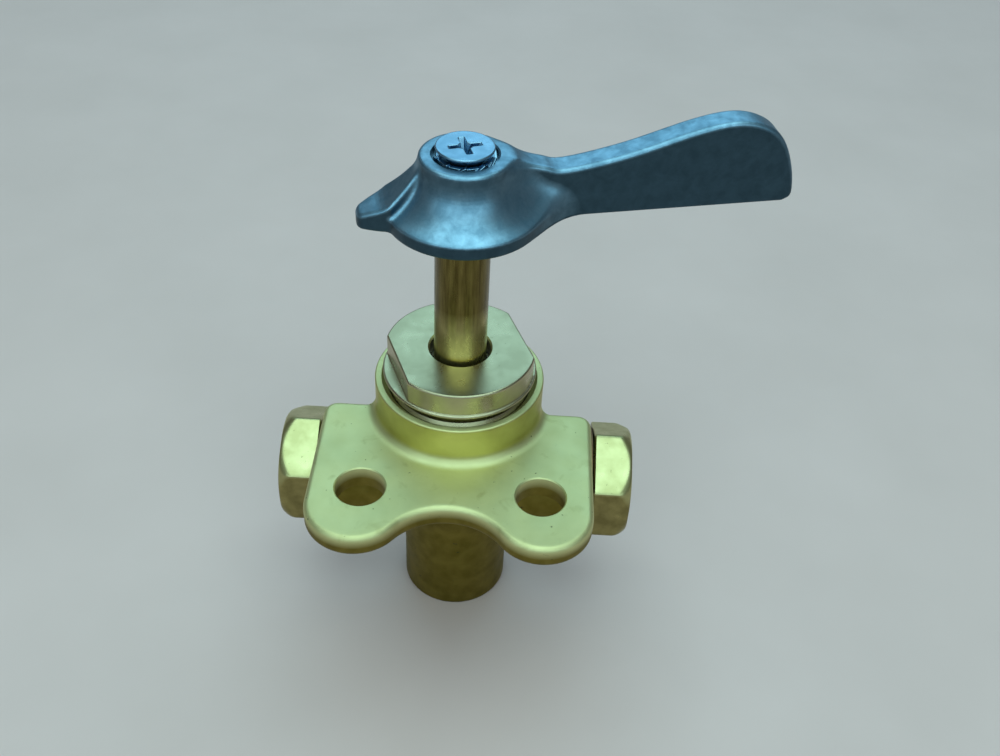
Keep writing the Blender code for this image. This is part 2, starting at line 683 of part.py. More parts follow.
def bonnet_nut(frame):
    """A cap with two wrench flats and a ledge, on a hollow threaded shank that presses the gasket."""
    undercut = NUT_SHANK_RADIUS - NUT_UNDERCUT
    ledge_top = NUT_LEDGE_Z + NUT_LEDGE
    profile = [
        (NUT_CAP_RADIUS - NUT_CHAMFER, NUT_TOP_Z),
        (NUT_CAP_RADIUS, NUT_TOP_Z - NUT_CHAMFER),
        (NUT_CAP_RADIUS, ledge_top),
        (NUT_RADIUS, ledge_top),
        (NUT_RADIUS, NUT_LEDGE_Z),
        (undercut, NUT_LEDGE_Z),
        (undercut, NECK_HEIGHT - NECK_CHAMFER / 2),
        (NUT_SHANK_RADIUS, NECK_HEIGHT - NECK_CHAMFER / 2 - NUT_UNDERCUT),
        (NUT_SHANK_RADIUS, SHANK_END_Z),
        (CAVITY_RADIUS, SHANK_END_Z),
        (CAVITY_RADIUS, CAVITY_TOP_Z),
        (STEM_RADIUS + STEM_HOLE_CLEARANCE, CAVITY_TOP_Z),
        (STEM_RADIUS + STEM_HOLE_CLEARANCE, NUT_TOP_Z),
    ]
    nut = part("bonnet_nut", turned("bonnet_nut", profile), frame, MACHINED_BRASS, turn=(0.0, 0.0, NUT_TURN))
    reach = NUT_RADIUS + OVERCUT
    for side in (-1, 1):
        low, high = sorted((side * NUT_HALF_FLATS, side * reach))
        name = "wrench_flat_left" if side < 0 else "wrench_flat_right"
        corner = (low, -reach, ledge_top)
        cutter = box(name, corner, (high, reach, NUT_TOP_Z + OVERCUT))
        combine(nut, "DIFFERENCE", tool(name, cutter, frame, turn=(0.0, 0.0, NUT_TURN)))


def packing(frame):
    part(
        "bonnet_gasket",
        ring("bonnet_gasket", NUT_SHANK_RADIUS, CHAMBER_RADIUS + GAP, GASKET_Z, GASKET_THICKNESS),
        frame,
        FIBRE,
    )
    washers = (
        ("thrust_washer", THRUST_WASHER_Z, THRUST_WASHER_THICKNESS),
        ("gland_washer", GLAND_WASHER_Z, GLAND_WASHER_THICKNESS),
    )
    for name, bottom, thickness in washers:
        part(name, ring(name, WASHER_RADIUS, LINER_RADIUS, bottom, thickness), frame, STEEL)
    for count, name in enumerate(PACKING_NAMES):
        bottom = PACKING_Z + count * PACKING_PITCH
        part(name, ring(name, WASHER_RADIUS, LINER_RADIUS, bottom, PACKING_THICKNESS), frame, PACKING_CORD)


# ---------------------------------------------------------------- stem and rotor


def stem(frame):
    """A bar with a thrust collar, a tang that drives the rotor, flats for the handle and a tapped top."""
    tang_end = ROTOR_TOP_Z - TANG_LENGTH + GAP
    profile = [
        (0.0, STEM_TOP_Z),
        (STEM_RADIUS - STEM_CHAMFER, STEM_TOP_Z),
        (STEM_RADIUS, STEM_TOP_Z - STEM_CHAMFER),
        (STEM_RADIUS, COLLAR_Z + COLLAR_THICKNESS),
        (COLLAR_RADIUS, COLLAR_Z + COLLAR_THICKNESS),
        (COLLAR_RADIUS, COLLAR_Z),
        (STEM_RADIUS, COLLAR_Z),
        (STEM_RADIUS, tang_end),
        (0.0, tang_end),
    ]
    bar = part("stem", turned("stem", profile), frame, STEM_BRASS)
    reach = STEM_RADIUS + OVERCUT
    flats_z = STEM_TOP_Z - STEM_FLAT_LENGTH
    tang_top = ROTOR_TOP_Z + GAP
    cuts = (
        ("stem_flat", STEM_HALF_FLATS, flats_z, STEM_TOP_Z + OVERCUT),
        ("stem_tang", TANG_HALF_WIDTH, tang_end - OVERCUT, tang_top),
    )
    for name, inner, low, high in cuts:
        for side, label in ((-1, "_front"), (1, "_rear")):
            near, far = sorted((side * inner, side * reach))
            cutter = box(name + label, (-reach, near, low), (reach, far, high))
            combine(bar, "DIFFERENCE", tool(name + label, cutter, frame))
    hole_end = CONE_END_Z - SCREW_LENGTH - 2 * GAP
    hole = cylinder("stem_screw_hole", SCREW_HOLE_RADIUS, hole_end, STEM_TOP_Z + OVERCUT, SMALL_FACETS)
    combine(bar, "DIFFERENCE", tool("stem_screw_hole", hole, frame))


def rotor_spring(frame):
    """A wave washer between the collar and the rotor, on a flat washer."""
    inner = LINER_RADIUS
    outer = COLLAR_RADIUS
    part(
        "spring_washer",
        ring("spring_washer", outer, inner, SPRING_WASHER_Z, SPRING_WASHER_THICKNESS),
        frame,
        STEEL,
    )
    mesh = ring("rotor_spring", outer, inner, SPRING_Z, SPRING_THICKNESS)
    swing = (SPRING_HEIGHT - SPRING_THICKNESS) / 2
    for vertex in mesh.vertices:
        angle = math.atan2(vertex.co.y, vertex.co.x)
        vertex.co.z += swing * (1 + math.cos(SPRING_WAVES * angle))
    part("rotor_spring", mesh, frame, STEEL)


def gate_rotor(frame):
    """A disc with a slot for the tang, a rim notch for the stop pin and a channel under its left half."""
    disc = cylinder("gate_rotor", ROTOR_RADIUS, ROTOR_BOTTOM_Z, ROTOR_TOP_Z)
    rotor = part("gate_rotor", disc, frame, ROTOR_BRASS)
    slot_reach = STEM_RADIUS + GAP
    slot_half = TANG_HALF_WIDTH + GAP
    slot_low = (-slot_reach, -slot_half, ROTOR_TOP_Z - TANG_LENGTH)
    slot = box("rotor_slot", slot_low, (slot_reach, slot_half, ROTOR_TOP_Z + OVERCUT))
    outline = arc((-PASSAGE_SPREAD, 0.0), CHANNEL_HALF_WIDTH, 90, 270)
    outline += arc((0.0, 0.0), CHANNEL_HALF_WIDTH, -90, 90)
    channel = plate("rotor_channel", [outline], ROTOR_BOTTOM_Z - OVERCUT, ROTOR_BOTTOM_Z + CHANNEL_DEPTH)
    spread = math.degrees(math.asin(STOP_PIN_RADIUS / STOP_PIN_TIP) + STOP_SLACK + HALF_TURN / 2)
    steps = 3 * ARC_STEPS
    sector = arc((0.0, 0.0), ROTOR_RADIUS + OVERCUT, -spread, spread, steps)
    sector += arc((0.0, 0.0), NOTCH_RADIUS, spread, -spread, steps)
    notch = plate("rotor_notch", [sector], ROTOR_TOP_Z - NOTCH_DEPTH, ROTOR_TOP_Z + OVERCUT)
    for name, mesh in (("rotor_slot", slot), ("rotor_channel", channel), ("rotor_notch", notch)):
        combine(rotor, "DIFFERENCE", tool(name, mesh, frame))


# ---------------------------------------------------------------- handle


def bell_profile():
    """The handle's hub, from its boss down a concave flare to the skirt's band."""
    band = HANDLE_BOTTOM + SKIRT_BAND
    shoulder = BOSS_TOP_Z - BOSS_EDGE
    flare_height = shoulder - band
    flare_width = SKIRT_RADIUS - BOSS_TOP_RADIUS - SKIRT_EDGE
    profile = [(0.0, BOSS_TOP_Z), (BOSS_TOP_RADIUS - BOSS_EDGE, BOSS_TOP_Z)]
    for out, down in FLARE_KNOTS:
        profile.append((BOSS_TOP_RADIUS + flare_width * out, shoulder - flare_height * down))
    profile += [(SKIRT_RADIUS, band - SKIRT_EDGE), (SKIRT_RADIUS, HANDLE_BOTTOM), (0.0, HANDLE_BOTTOM)]
    return profile


def blade_outline():
    """The lever's side view, from its root in the hub round the crown to the straight lower edge."""
    crown = BLADE_CROWN_HEIGHT
    waist = BLADE_WAIST_HEIGHT
    rise = crown - waist
    span = BLADE_CROWN_REACH - BLADE_WAIST_REACH
    fall = BLADE_REACH - BLADE_CROWN_REACH
    climb = BOSS_TOP_Z - HANDLE_BOTTOM - waist
    setback, height = BLADE_TIP_KNOT
    knots = [(BLADE_REACH - BLADE_TIP_ROUND, 0.0), (BLADE_REACH - setback, height * crown)]
    knots += [(BLADE_REACH - back * fall, up * crown) for back, up in BLADE_END_KNOTS]
    knots.append((BLADE_CROWN_REACH, crown))
    knots += [(BLADE_WAIST_REACH + out * span, waist + up * rise) for out, up in BLADE_BACK_KNOTS]
    knots.append((BLADE_WAIST_REACH, waist))
    knots += [(BOSS_TOP_RADIUS + out, waist + up * climb) for out, up in BLADE_ROOT_KNOTS]
    outline = [(BOSS_TOP_RADIUS - BLADE_ROOT, 0.0)] + smooth_path(knots, BLADE_STEPS)
    return [(reach, HANDLE_BOTTOM + height) for reach, height in outline]


def skirt_wing_outline():
    """The plan of the skirt's band, filleted into both sides of the lever."""
    offset = BLADE_HALF_THICKNESS + BLADE_FILLET
    reach = math.sqrt((SKIRT_RADIUS + BLADE_FILLET) ** 2 - offset**2)
    tangent = math.degrees(math.atan2(offset, reach))
    upper = arc((0.0, 0.0), SKIRT_RADIUS - WING_INSET, WING_START, tangent, ARC_STEPS)
    upper += arc((reach, offset), BLADE_FILLET, tangent + 180, 270, ARC_STEPS)[1:]
    upper.append((reach + BLADE_FILLET, BLADE_HALF_THICKNESS))
    return upper + [(x, -y) for x, y in reversed(upper)]


def pointer_outline():
    """The pointer's plan: a wedge with a round tip, opposite the lever."""
    tip = (-POINTER_REACH + POINTER_TIP_RADIUS, 0.0)
    root = -SKIRT_RADIUS + POINTER_ROOT
    side = [(root, POINTER_HALF_WIDTH), (-SKIRT_RADIUS + POINTER_SHOULDER, POINTER_HALF_WIDTH)]
    nose = arc(tip, POINTER_TIP_RADIUS, POINTER_TIP_TURN, 360 - POINTER_TIP_TURN)
    return side + nose + [(x, -y) for x, y in reversed(side)]


def ridge_outline():
    """The rib that climbs from the pointer's tip to the boss."""
    low = HANDLE_BOTTOM + RIDGE_FOOT
    top = BOSS_TOP_Z - RIDGE_DROP
    shoulder = HANDLE_BOTTOM + POINTER_HEIGHT
    rise = top - shoulder
    span = POINTER_REACH - BOSS_TOP_RADIUS
    (tip_back, tip_drop), foot_back = RIDGE_TIP
    root = -BOSS_TOP_RADIUS + RIDGE_ROOT
    knots = [(-POINTER_REACH + tip_back, shoulder - tip_drop)]
    knots += [(-POINTER_REACH + out * span, shoulder + up * rise) for out, up in RIDGE_KNOTS]
    knots += [(-BOSS_TOP_RADIUS, top), (root, top)]
    return [(root, low), (-POINTER_REACH + foot_back, low)] + smooth_path(knots, RIDGE_STEPS)


def crown_cutter(frame):
    """The washer's recess, the countersink and the screw's clearance hole."""
    countersink = CONE_END_Z + GAP
    profile = [
        (0.0, BOSS_TOP_Z + OVERCUT),
        (RECESS_RADIUS, BOSS_TOP_Z + OVERCUT),
        (RECESS_RADIUS, RECESS_FLOOR_Z),
        (SCREW_HOLE_RADIUS + RECESS_FLOOR_Z - countersink + 2 * GAP, RECESS_FLOOR_Z),
        (SCREW_HOLE_RADIUS, countersink - 2 * GAP),
        (SCREW_HOLE_RADIUS, SOCKET_TOP_Z - OVERCUT),
        (0.0, SOCKET_TOP_Z - OVERCUT),
    ]
    return tool("handle_recess", turned("handle_recess", profile), frame)


def stem_socket_cutter(frame):
    """A bore for the stem below its flats, and a double-D above."""
    radius = LINER_RADIUS
    half = STEM_HALF_FLATS + GAP
    bend = math.degrees(math.asin(half / radius))
    outline = arc((0.0, 0.0), radius, -bend, bend) + arc((0.0, 0.0), radius, 180 - bend, 180 + bend)
    flats_z = STEM_TOP_Z - STEM_FLAT_LENGTH + GAP
    double_d = plate("stem_socket", [outline], flats_z - OVERCUT, SOCKET_TOP_Z)
    lower = cylinder("stem_socket_lower", radius + SOCKET_RELIEF, HANDLE_BOTTOM - OVERCUT, flats_z)
    return tool("stem_socket", double_d, frame), tool("stem_socket_lower", lower, frame)


def handle(frame):
    lever = part("handle", turned("handle", bell_profile()), frame, CAST_ZINC)
    wing_low = HANDLE_BOTTOM + WING_INSET
    wing_top = HANDLE_BOTTOM + SKIRT_BAND
    pointer_top = HANDLE_BOTTOM + POINTER_HEIGHT
    solids = (
        ("skirt_wing", plate("skirt_wing", [skirt_wing_outline()], wing_low, wing_top)),
        ("blade", fin("blade", blade_outline(), BLADE_HALF_THICKNESS, BLADE_ROUND)),
        ("pointer", plate("pointer", [pointer_outline()], wing_low, pointer_top, POINTER_ROUND)),
        ("ridge", fin("ridge", ridge_outline(), RIDGE_HALF_THICKNESS, RIDGE_ROUND)),
    )
    for name, mesh in solids:
        combine(lever, "UNION", tool(name, mesh, frame))
    hollow_top = HANDLE_BOTTOM + SKIRT_HOLLOW
    hollow = [
        (SKIRT_RADIUS - SKIRT_WALL - HOLLOW_DRAFT, hollow_top),
        (SKIRT_RADIUS - SKIRT_WALL, HANDLE_BOTTOM - OVERCUT),
        (HUB_RADIUS, HANDLE_BOTTOM - OVERCUT),
        (HUB_RADIUS, hollow_top),
    ]
    combine(lever, "DIFFERENCE", tool("skirt_hollow", turned("skirt_hollow", hollow), frame))
    combine(lever, "DIFFERENCE", crown_cutter(frame), *stem_socket_cutter(frame))


def handle_screw(frame):
    """A countersunk screw with a cross recess."""
    profile = [
        (0.0, HEAD_TOP_Z),
        (HEAD_RADIUS, HEAD_TOP_Z),
        (HEAD_RADIUS, HEAD_TOP_Z - HEAD_LAND),
        (SCREW_RADIUS, CONE_END_Z),
        (SCREW_RADIUS, CONE_END_Z - SCREW_LENGTH),
        (0.0, CONE_END_Z - SCREW_LENGTH),
    ]
    screw = part("handle_screw", turned("handle_screw", profile), frame, PLATED_STEEL)
    low = HEAD_TOP_Z - CROSS_DEPTH
    for name, turn in (("cross_slot_a", CROSS_TURN), ("cross_slot_b", CROSS_TURN + math.pi / 2)):
        corner = (-CROSS_HALF_LENGTH, -CROSS_HALF_WIDTH, low)
        cutter = box(name, corner, (CROSS_HALF_LENGTH, CROSS_HALF_WIDTH, HEAD_TOP_Z + OVERCUT))
        combine(screw, "DIFFERENCE", tool(name, cutter, frame, turn=(0.0, 0.0, turn)))


def lock_washer(frame):
    """A flat lock washer with teeth round its outer edge."""
    tooth = 360.0 / LOCK_WASHER_TEETH
    root = LOCK_WASHER_RADIUS - TOOTH_HEIGHT
    outer = []
    for count in range(LOCK_WASHER_TEETH):
        start = count * tooth
        outer += arc((0.0, 0.0), LOCK_WASHER_RADIUS, start, start + TOOTH_SHARE * tooth, TOOTH_STEPS)
        valley, end = TOOTH_VALLEY
        outer += arc((0.0, 0.0), root, start + valley * tooth, start + end * tooth, TOOTH_STEPS)
    inner = circle(LOCK_WASHER_RADIUS - LOCK_WASHER_WALL, SMALL_FACETS)
    bottom = RECESS_FLOOR_Z + GAP
    mesh = plate("handle_lock_washer", [outer, inner], bottom, bottom + LOCK_WASHER_THICKNESS)
    part("handle_lock_washer", mesh, frame, PLATED_STEEL)


# ---------------------------------------------------------------- assembly

# Colour, roughness and metallic value of each finish
CAST_BRASS = ((0.55, 0.52, 0.22), 0.42, 1.0)
MACHINED_BRASS = ((0.62, 0.56, 0.26), 0.28, 1.0)
STEM_BRASS = ((0.42, 0.34, 0.12), 0.35, 1.0)
ROTOR_BRASS = ((0.60, 0.50, 0.22), 0.30, 1.0)
CAST_ZINC = ((0.16, 0.24, 0.29), 0.45, 1.0)
PLATED_STEEL = ((0.42, 0.50, 0.55), 0.30, 1.0)
STEEL = ((0.55, 0.56, 0.58), 0.30, 1.0)
COPPER = ((0.55, 0.30, 0.15), 0.40, 1.0)
FIBRE = ((0.25, 0.10, 0.06), 0.80, 0.0)
PACKING_CORD = ((0.08, 0.08, 0.08), 0.85, 0.0)
SEAT_POLYMER = ((0.80, 0.80, 0.76), 0.50, 0.0)

SIDES = {"left": -1, "right": 1}

clear_scene()
PARTS = new_collection("selector_valve")
TOOLS = new_collection("joined_and_cut_solids")

STEM_AXIS = (0.0, HOLE_SETBACK, 0.0)
BODY_FRAME = new_frame("body_frame", STEM_AXIS)
HANDLE_FRAME = new_frame("handle_frame", STEM_AXIS, (0.0, 0.0, HANDLE_REST))
ROTOR_FRAME = new_frame("rotor_frame", STEM_AXIS, (0.0, 0.0, HANDLE_REST))
STOP_FRAME = new_frame("stop_frame", (0.0, HOLE_SETBACK, STOP_PIN_Z), (-math.pi / 2, 0.0, 0.0))
PORT_FRAMES = {
    label: new_frame(label + "_port_frame", (0.0, HOLE_SETBACK, -PORT_DEPTH), (0.0, side * math.pi / 2, 0.0))
    for label, side in SIDES.items()
}

valve_body(BODY_FRAME)
stop_pin()
seat_rings(BODY_FRAME)
for port in SIDES:
    port_bushing(port)
    port_washer(port)
bonnet_nut(BODY_FRAME)
packing(BODY_FRAME)
stem(HANDLE_FRAME)
rotor_spring(ROTOR_FRAME)
gate_rotor(ROTOR_FRAME)
handle(HANDLE_FRAME)
handle_screw(HANDLE_FRAME)
lock_washer(HANDLE_FRAME)
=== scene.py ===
"""The finished look of the selector valve: cast and machined surfaces, their metals, camera and light.

Each visible metal piece is shaped as a distance field, the distance from every point to its surface, so that
its fillets and worn edges are real geometry, and is then meshed. Lengths are metres and +Z is up. The stem's
axis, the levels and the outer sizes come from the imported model.
"""

import math

import bpy
import numpy as np
import openvdb
from mathutils import Matrix, Vector


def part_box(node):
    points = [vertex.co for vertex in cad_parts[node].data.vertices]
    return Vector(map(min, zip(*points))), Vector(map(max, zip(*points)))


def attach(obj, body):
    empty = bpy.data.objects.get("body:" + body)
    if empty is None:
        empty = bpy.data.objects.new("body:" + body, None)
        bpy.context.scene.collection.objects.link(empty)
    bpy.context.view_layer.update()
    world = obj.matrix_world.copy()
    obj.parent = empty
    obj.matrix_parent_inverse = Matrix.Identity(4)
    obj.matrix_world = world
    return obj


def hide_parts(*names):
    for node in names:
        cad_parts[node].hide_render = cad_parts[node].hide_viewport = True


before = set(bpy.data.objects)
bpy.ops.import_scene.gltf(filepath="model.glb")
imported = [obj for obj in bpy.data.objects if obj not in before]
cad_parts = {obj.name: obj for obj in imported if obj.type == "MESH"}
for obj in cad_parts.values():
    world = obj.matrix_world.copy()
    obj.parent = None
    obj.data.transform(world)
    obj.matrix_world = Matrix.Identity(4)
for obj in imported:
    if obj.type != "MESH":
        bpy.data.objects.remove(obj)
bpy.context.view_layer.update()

MM = 0.001
GAP = 0.3 * MM

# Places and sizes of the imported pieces
BODY_LOW, BODY_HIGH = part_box("valve_body")
NUT_LOW, NUT_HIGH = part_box("bonnet_nut")
STEM_LOW, STEM_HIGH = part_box("stem")
HANDLE_LOW, HANDLE_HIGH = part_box("handle")
SCREW_LOW, SCREW_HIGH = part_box("handle_screw")
ROTOR_LOW, ROTOR_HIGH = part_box("gate_rotor")
WASHER_LOW, WASHER_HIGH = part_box("handle_lock_washer")
PORT_LOW, PORT_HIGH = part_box("right_port_bushing")
AXIS_Y = (STEM_LOW.y + STEM_HIGH.y) / 2
PORT_Z = (PORT_LOW.z + PORT_HIGH.z) / 2
FLOOR_Z = BODY_LOW.z
LEVER_TURN = math.radians(13.4)  # the lever's direction at rest, counterclockwise from +X


# ---------------------------------------------------------------- distance fields


def hypot(a, b):
    return np.sqrt(a * a + b * b)


def join(a, b, fillet):
    """Both shapes, with a round fillet between them."""
    return np.maximum(fillet, np.minimum(a, b)) - hypot(np.maximum(fillet - a, 0), np.maximum(fillet - b, 0))


def both(a, b, edge=0.0):
    """What the two shapes share, with a rounded edge."""
    outside = hypot(np.maximum(a + edge, 0), np.maximum(b + edge, 0)) - edge
    return outside + np.minimum(np.maximum(a, b) + edge, 0)


def cut(a, b, edge=0.0):
    """The first shape without the second, with a rounded edge."""
    return both(a, -b, edge)


def slab(v, low, high):
    return np.abs(v - (low + high) / 2) - (high - low) / 2


def polygon(u, v, outline):
    """Distance to a closed outline in a plane, negative inside."""
    best = np.inf
    inside = False
    for (au, av), (bu, bv) in zip(outline, outline[1:] + outline[:1]):
        eu, ev = bu - au, bv - av
        wu, wv = u - au, v - av
        t = np.clip((wu * eu + wv * ev) / (eu * eu + ev * ev), 0, 1)
        best = np.minimum(best, (wu - eu * t) ** 2 + (wv - ev * t) ** 2)
        inside = inside ^ (((av > v) != (bv > v)) & ((wu * ev < wv * eu) == (ev > 0)))
    return np.sqrt(best) * np.where(inside, -1.0, 1.0)


def arc(centre, radius, start, end, steps):
    """Points on an arc, its angles in degrees."""
    angles = [math.radians(start + (end - start) * i / steps) for i in range(steps + 1)]
    return [(centre[0] + radius * math.cos(a), centre[1] + radius * math.sin(a)) for a in angles]


def smooth_path(knots, steps):
    """Points on a Catmull-Rom curve through the knots, from the first to the last."""
    ends = [knots[0]] + list(knots) + [knots[-1]]
    path = []
    for before, start, end, after in zip(ends, ends[1:], ends[2:], ends[3:]):
        for step in range(steps):
            t = step / steps
            weights = (
                (-t + 2 * t**2 - t**3) / 2,
                (2 - 5 * t**2 + 3 * t**3) / 2,
                (t + 4 * t**2 - 3 * t**3) / 2,
                (-(t**2) + t**3) / 2,
            )
            corners = (before, start, end, after)
            path.append(tuple(sum(w * c[axis] for w, c in zip(weights, corners)) for axis in (0, 1)))
    return path + [knots[-1]]


def lever_axes(x, y):
    """A point's place along the lever and across it."""
    y = y - AXIS_Y
    c, s = math.cos(LEVER_TURN), math.sin(LEVER_TURN)
    return x * c + y * s, y * c - x * s


# ---------------------------------------------------------------- meshes


def new_piece(name, points, faces):
    mesh = bpy.data.meshes.new(name)
    mesh.from_pydata(points, [], faces)
    mesh.update()
    piece = bpy.data.objects.new(name, mesh)
    bpy.context.scene.collection.objects.link(piece)
    return piece


def surface(name, node, field, voxel, keep=1.0):
    """Meshes a distance field inside a CAD node's box, with its vertices drawn onto the exact surface."""
    low, high = (np.array(corner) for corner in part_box(node))
    low = low - BORDER * voxel
    counts = np.ceil((high + BORDER * voxel - low) / voxel).astype(int) + 1
    x, y, z = (low[i] + voxel * np.arange(counts[i]) for i in range(3))
    values = field(x[:, None, None], y[None, :, None], z[None, None, :])
    values = np.broadcast_to(values, counts).astype(np.float32)
    grid = openvdb.FloatGrid(BORDER * voxel)
    grid.copyFromArray(np.clip(values / voxel, -BORDER, BORDER))
    points, quads = grid.convertToQuads(isovalue=0.0)
    points = points.astype(float) * voxel + low
    for _ in range(DRAWS):
        points = drawn_in(points, field, voxel)
    piece = new_piece(name, points, quads[:, ::-1])
    if keep < 1.0:
        thin = piece.modifiers.new("thinned", "DECIMATE")
        thin.ratio = keep
        settle(piece)
    piece.data.shade_smooth()
    return piece


def drawn_in(points, field, voxel):
    """Moves each point along the field's slope to where the field is zero, by at most half a voxel."""
    step = 0.1 * voxel
    x, y, z = points.T
    slope = np.stack(
        [
            field(x + step, y, z) - field(x - step, y, z),
            field(x, y + step, z) - field(x, y - step, z),
            field(x, y, z + step) - field(x, y, z - step),
        ],
        axis=1,
    ) / (2 * step)
    length = np.maximum((slope**2).sum(1), 0.05)
    move = np.clip(field(x, y, z) / length, -0.5 * voxel, 0.5 * voxel)
    return points - move[:, None] * slope


def settle(piece):
    """Applies the piece's modifiers."""
    bpy.context.view_layer.update()
    graph = bpy.context.evaluated_depsgraph_get()
    piece.data = bpy.data.meshes.new_from_object(piece.evaluated_get(graph))
    piece.modifiers.clear()


def loft(name, rows, angles, axis="z", side=1):
    """A closed solid of revolution-like rows. A row is its radius at each angle and its place on the axis.

    The rows run up the outside, over the top and down the inside to where they began.
    """
    count = len(angles)
    points = []
    for radius, level in rows:
        radius = np.broadcast_to(radius, count)
        u, v = radius * np.cos(angles), radius * np.sin(angles)
        level = np.full(count, level)
        upright = [u, v + AXIS_Y, level]
        sideways = [side * level, side * u + AXIS_Y, v + PORT_Z]
        points.append(np.stack(upright if axis == "z" else sideways, axis=1))
    faces = []
    for row in range(len(rows)):
        start, after = row * count, (row + 1) % len(rows) * count
        for i in range(count):
            j = (i + 1) % count
            faces.append((start + i, start + j, after + j, after + i))
    piece = new_piece(name, np.concatenate(points), faces)
    piece.data.shade_smooth()
    piece.data.set_sharp_from_angle(angle=SHARP)
    return piece


def soft_min(a, b, blend):
    """The smaller of two radii, rounded over where they meet."""
    share = np.clip(0.5 + 0.5 * (b - a) / blend, 0, 1)
    return b * (1 - share) + a * share - blend * share * (1 - share)


def rounded(outer, level, edge, up=True, steps=5):
    """Rows for a rounded edge, from the wall to the end face, or the other way at the foot."""
    rows = []
    for step in range(steps + 1):
        turn = math.pi / 2 * step / steps
        if up:
            rows.append((outer - edge * (1 - math.cos(turn)), level - edge * (1 - math.sin(turn))))
        else:
            rows.append((outer - edge * (1 - math.sin(turn)), level + edge * (1 - math.cos(turn))))
    return rows


def turned_tool(name, profile, place=(0.0, 0.0), steps=128):
    """A turned cutter, its profile given as radius and height from the top of its axis to the foot."""
    angles = np.arange(steps) * 2 * math.pi / steps
    points = [(place[0], place[1], profile[0][1])]
    for radius, level in profile[1:-1]:
        for angle in angles:
            points.append((place[0] + radius * math.cos(angle), place[1] + radius * math.sin(angle), level))
    points.append((place[0], place[1], profile[-1][1]))
    faces = [(0, 1 + i, 1 + (i + 1) % steps) for i in range(steps)]
    for row in range(len(profile) - 3):
        start = 1 + row * steps
        faces += [
            (start + i, start + steps + i, start + steps + (i + 1) % steps, start + (i + 1) % steps)
            for i in range(steps)
        ]
    last = 1 + (len(profile) - 3) * steps
    faces += [(len(points) - 1, last + (i + 1) % steps, last + i) for i in range(steps)]
    return new_piece(name, points, faces)


def carve(piece, *tools):
    """Cuts the tools out of the piece, and keeps the cuts' edges sharp."""
    for tool in tools:
        boolean = piece.modifiers.new(tool.name, "BOOLEAN")
        boolean.operation = "DIFFERENCE"
        boolean.solver = "MANIFOLD"
        boolean.object = tool
    settle(piece)
    for tool in tools:
        bpy.data.objects.remove(tool, do_unlink=True)
    piece.data.shade_smooth()
    piece.data.set_sharp_from_angle(angle=SHARP)


def finish_piece(piece, body, slot, material, *nodes):
    piece.data.materials.clear()
    piece.data.materials.append(material)
    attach(piece, body)
    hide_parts(*nodes)
    return piece


BORDER = 3
DRAWS = 2
SHARP = math.radians(32)
COS30 = math.cos(math.radians(30))
COARSE = 1.0
BODY_VOXEL = 0.385 * MM * COARSE
HANDLE_VOXEL = 0.25 * MM * COARSE
SCREW_VOXEL = 0.11 * MM * COARSE
SCREW_KEEP = 0.6  # the share of the screw's fine mesh that is kept
WASHER_VOXEL = 0.09 * MM * COARSE

# ---------------------------------------------------------------- body casting

FLANGE_THICKNESS = 4.4 * MM
FLANGE_BACK = 0.9 * MM
FLANGE_WAIST = 26.7 * MM
FLANGE_CORNER = 2.6 * MM
FLANGE_ROUND = 1.1 * MM
LOBE_RADIUS = 8.9 * MM
LOBE_SPREAD = 16.2 * MM
LOBE_SETBACK = 25.8 * MM
HOLE_SPACING = 31.5 * MM
HOLE_RADIUS = 4.4 * MM
NECK_RADIUS = 15.6 * MM
NECK_CHAMFER = 1.1 * MM
BOSS_RADIUS = 10.5 * MM
BARREL_ROUND = 0.6 * MM
FLANGE_SHY = 0.04 * MM  # how far the casting's edge stays inside its nominal outline
TUBE_RADIUS = 10.2 * MM
TUBE_REACH = 25.2 * MM
TUBE_FILLET = 2.5 * MM
TAPER_TOP = -10.4 * MM
TAPER_FOOT = -20.4 * MM
WEB_SETBACK = 1.6 * MM
WEB_FRONT = -6.9 * MM
WEB_REAR = -1.9 * MM
WEB_FILLET = 1.5 * MM
FLANGE_FILLET = 2.0 * MM
PORT_BORE = 8.7 * MM
PORT_BORE_END = 13.5 * MM
GALLERY_RADIUS = 2.6 * MM
GALLERY_END = 5.2 * MM
PIN_LEVEL = -3.4 * MM
PIN_HOLE = 1.4 * MM
PIN_HOLE_START = 9 * MM
BONNET_BORE = 13.3 * MM
BONNET_SEAT = 1.5 * MM
CHAMBER_RADIUS = ROTOR_HIGH.y - AXIS_Y + GAP
CHAMBER_FLOOR = ROTOR_LOW.z - 0.4 * MM
SOCKET_RADIUS = 6.2 * MM
SOCKET_LENGTH = 14.4 * MM
PASSAGE_RADIUS = 2.0 * MM
PASSAGE_SPREAD = 7.2 * MM
SEAT_RADIUS = 3.3 * MM
SEAT_DEPTH = 1.4 * MM
THREAD_PITCH = 1.41 * MM
THREAD_DEPTH = 0.75 * MM


def flange_outline():
    """Rear edge, sides, round lobes and the concave waist that is tangent to both lobes."""
    lobe = (LOBE_SPREAD, -LOBE_SETBACK)
    side = LOBE_SPREAD + LOBE_RADIUS
    drop = FLANGE_WAIST - LOBE_SETBACK
    waist = (LOBE_SPREAD**2 + drop**2 - LOBE_RADIUS**2) / (2 * (LOBE_RADIUS - drop))
    centre = (0.0, -FLANGE_WAIST - waist)
    tangent = math.degrees(math.atan2(centre[1] - lobe[1], -lobe[0])) % 360
    corner = (side - FLANGE_CORNER, -FLANGE_BACK - FLANGE_CORNER)
    half = arc(corner, FLANGE_CORNER, 90, 0, 6)
    half += arc(lobe, LOBE_RADIUS, 360, tangent, 26)
    half += arc(centre, waist, tangent - 180, 90, 16)[1:-1]
    return half + [(0.0, -FLANGE_WAIST)] + [(-x, y) for x, y in reversed(half)]


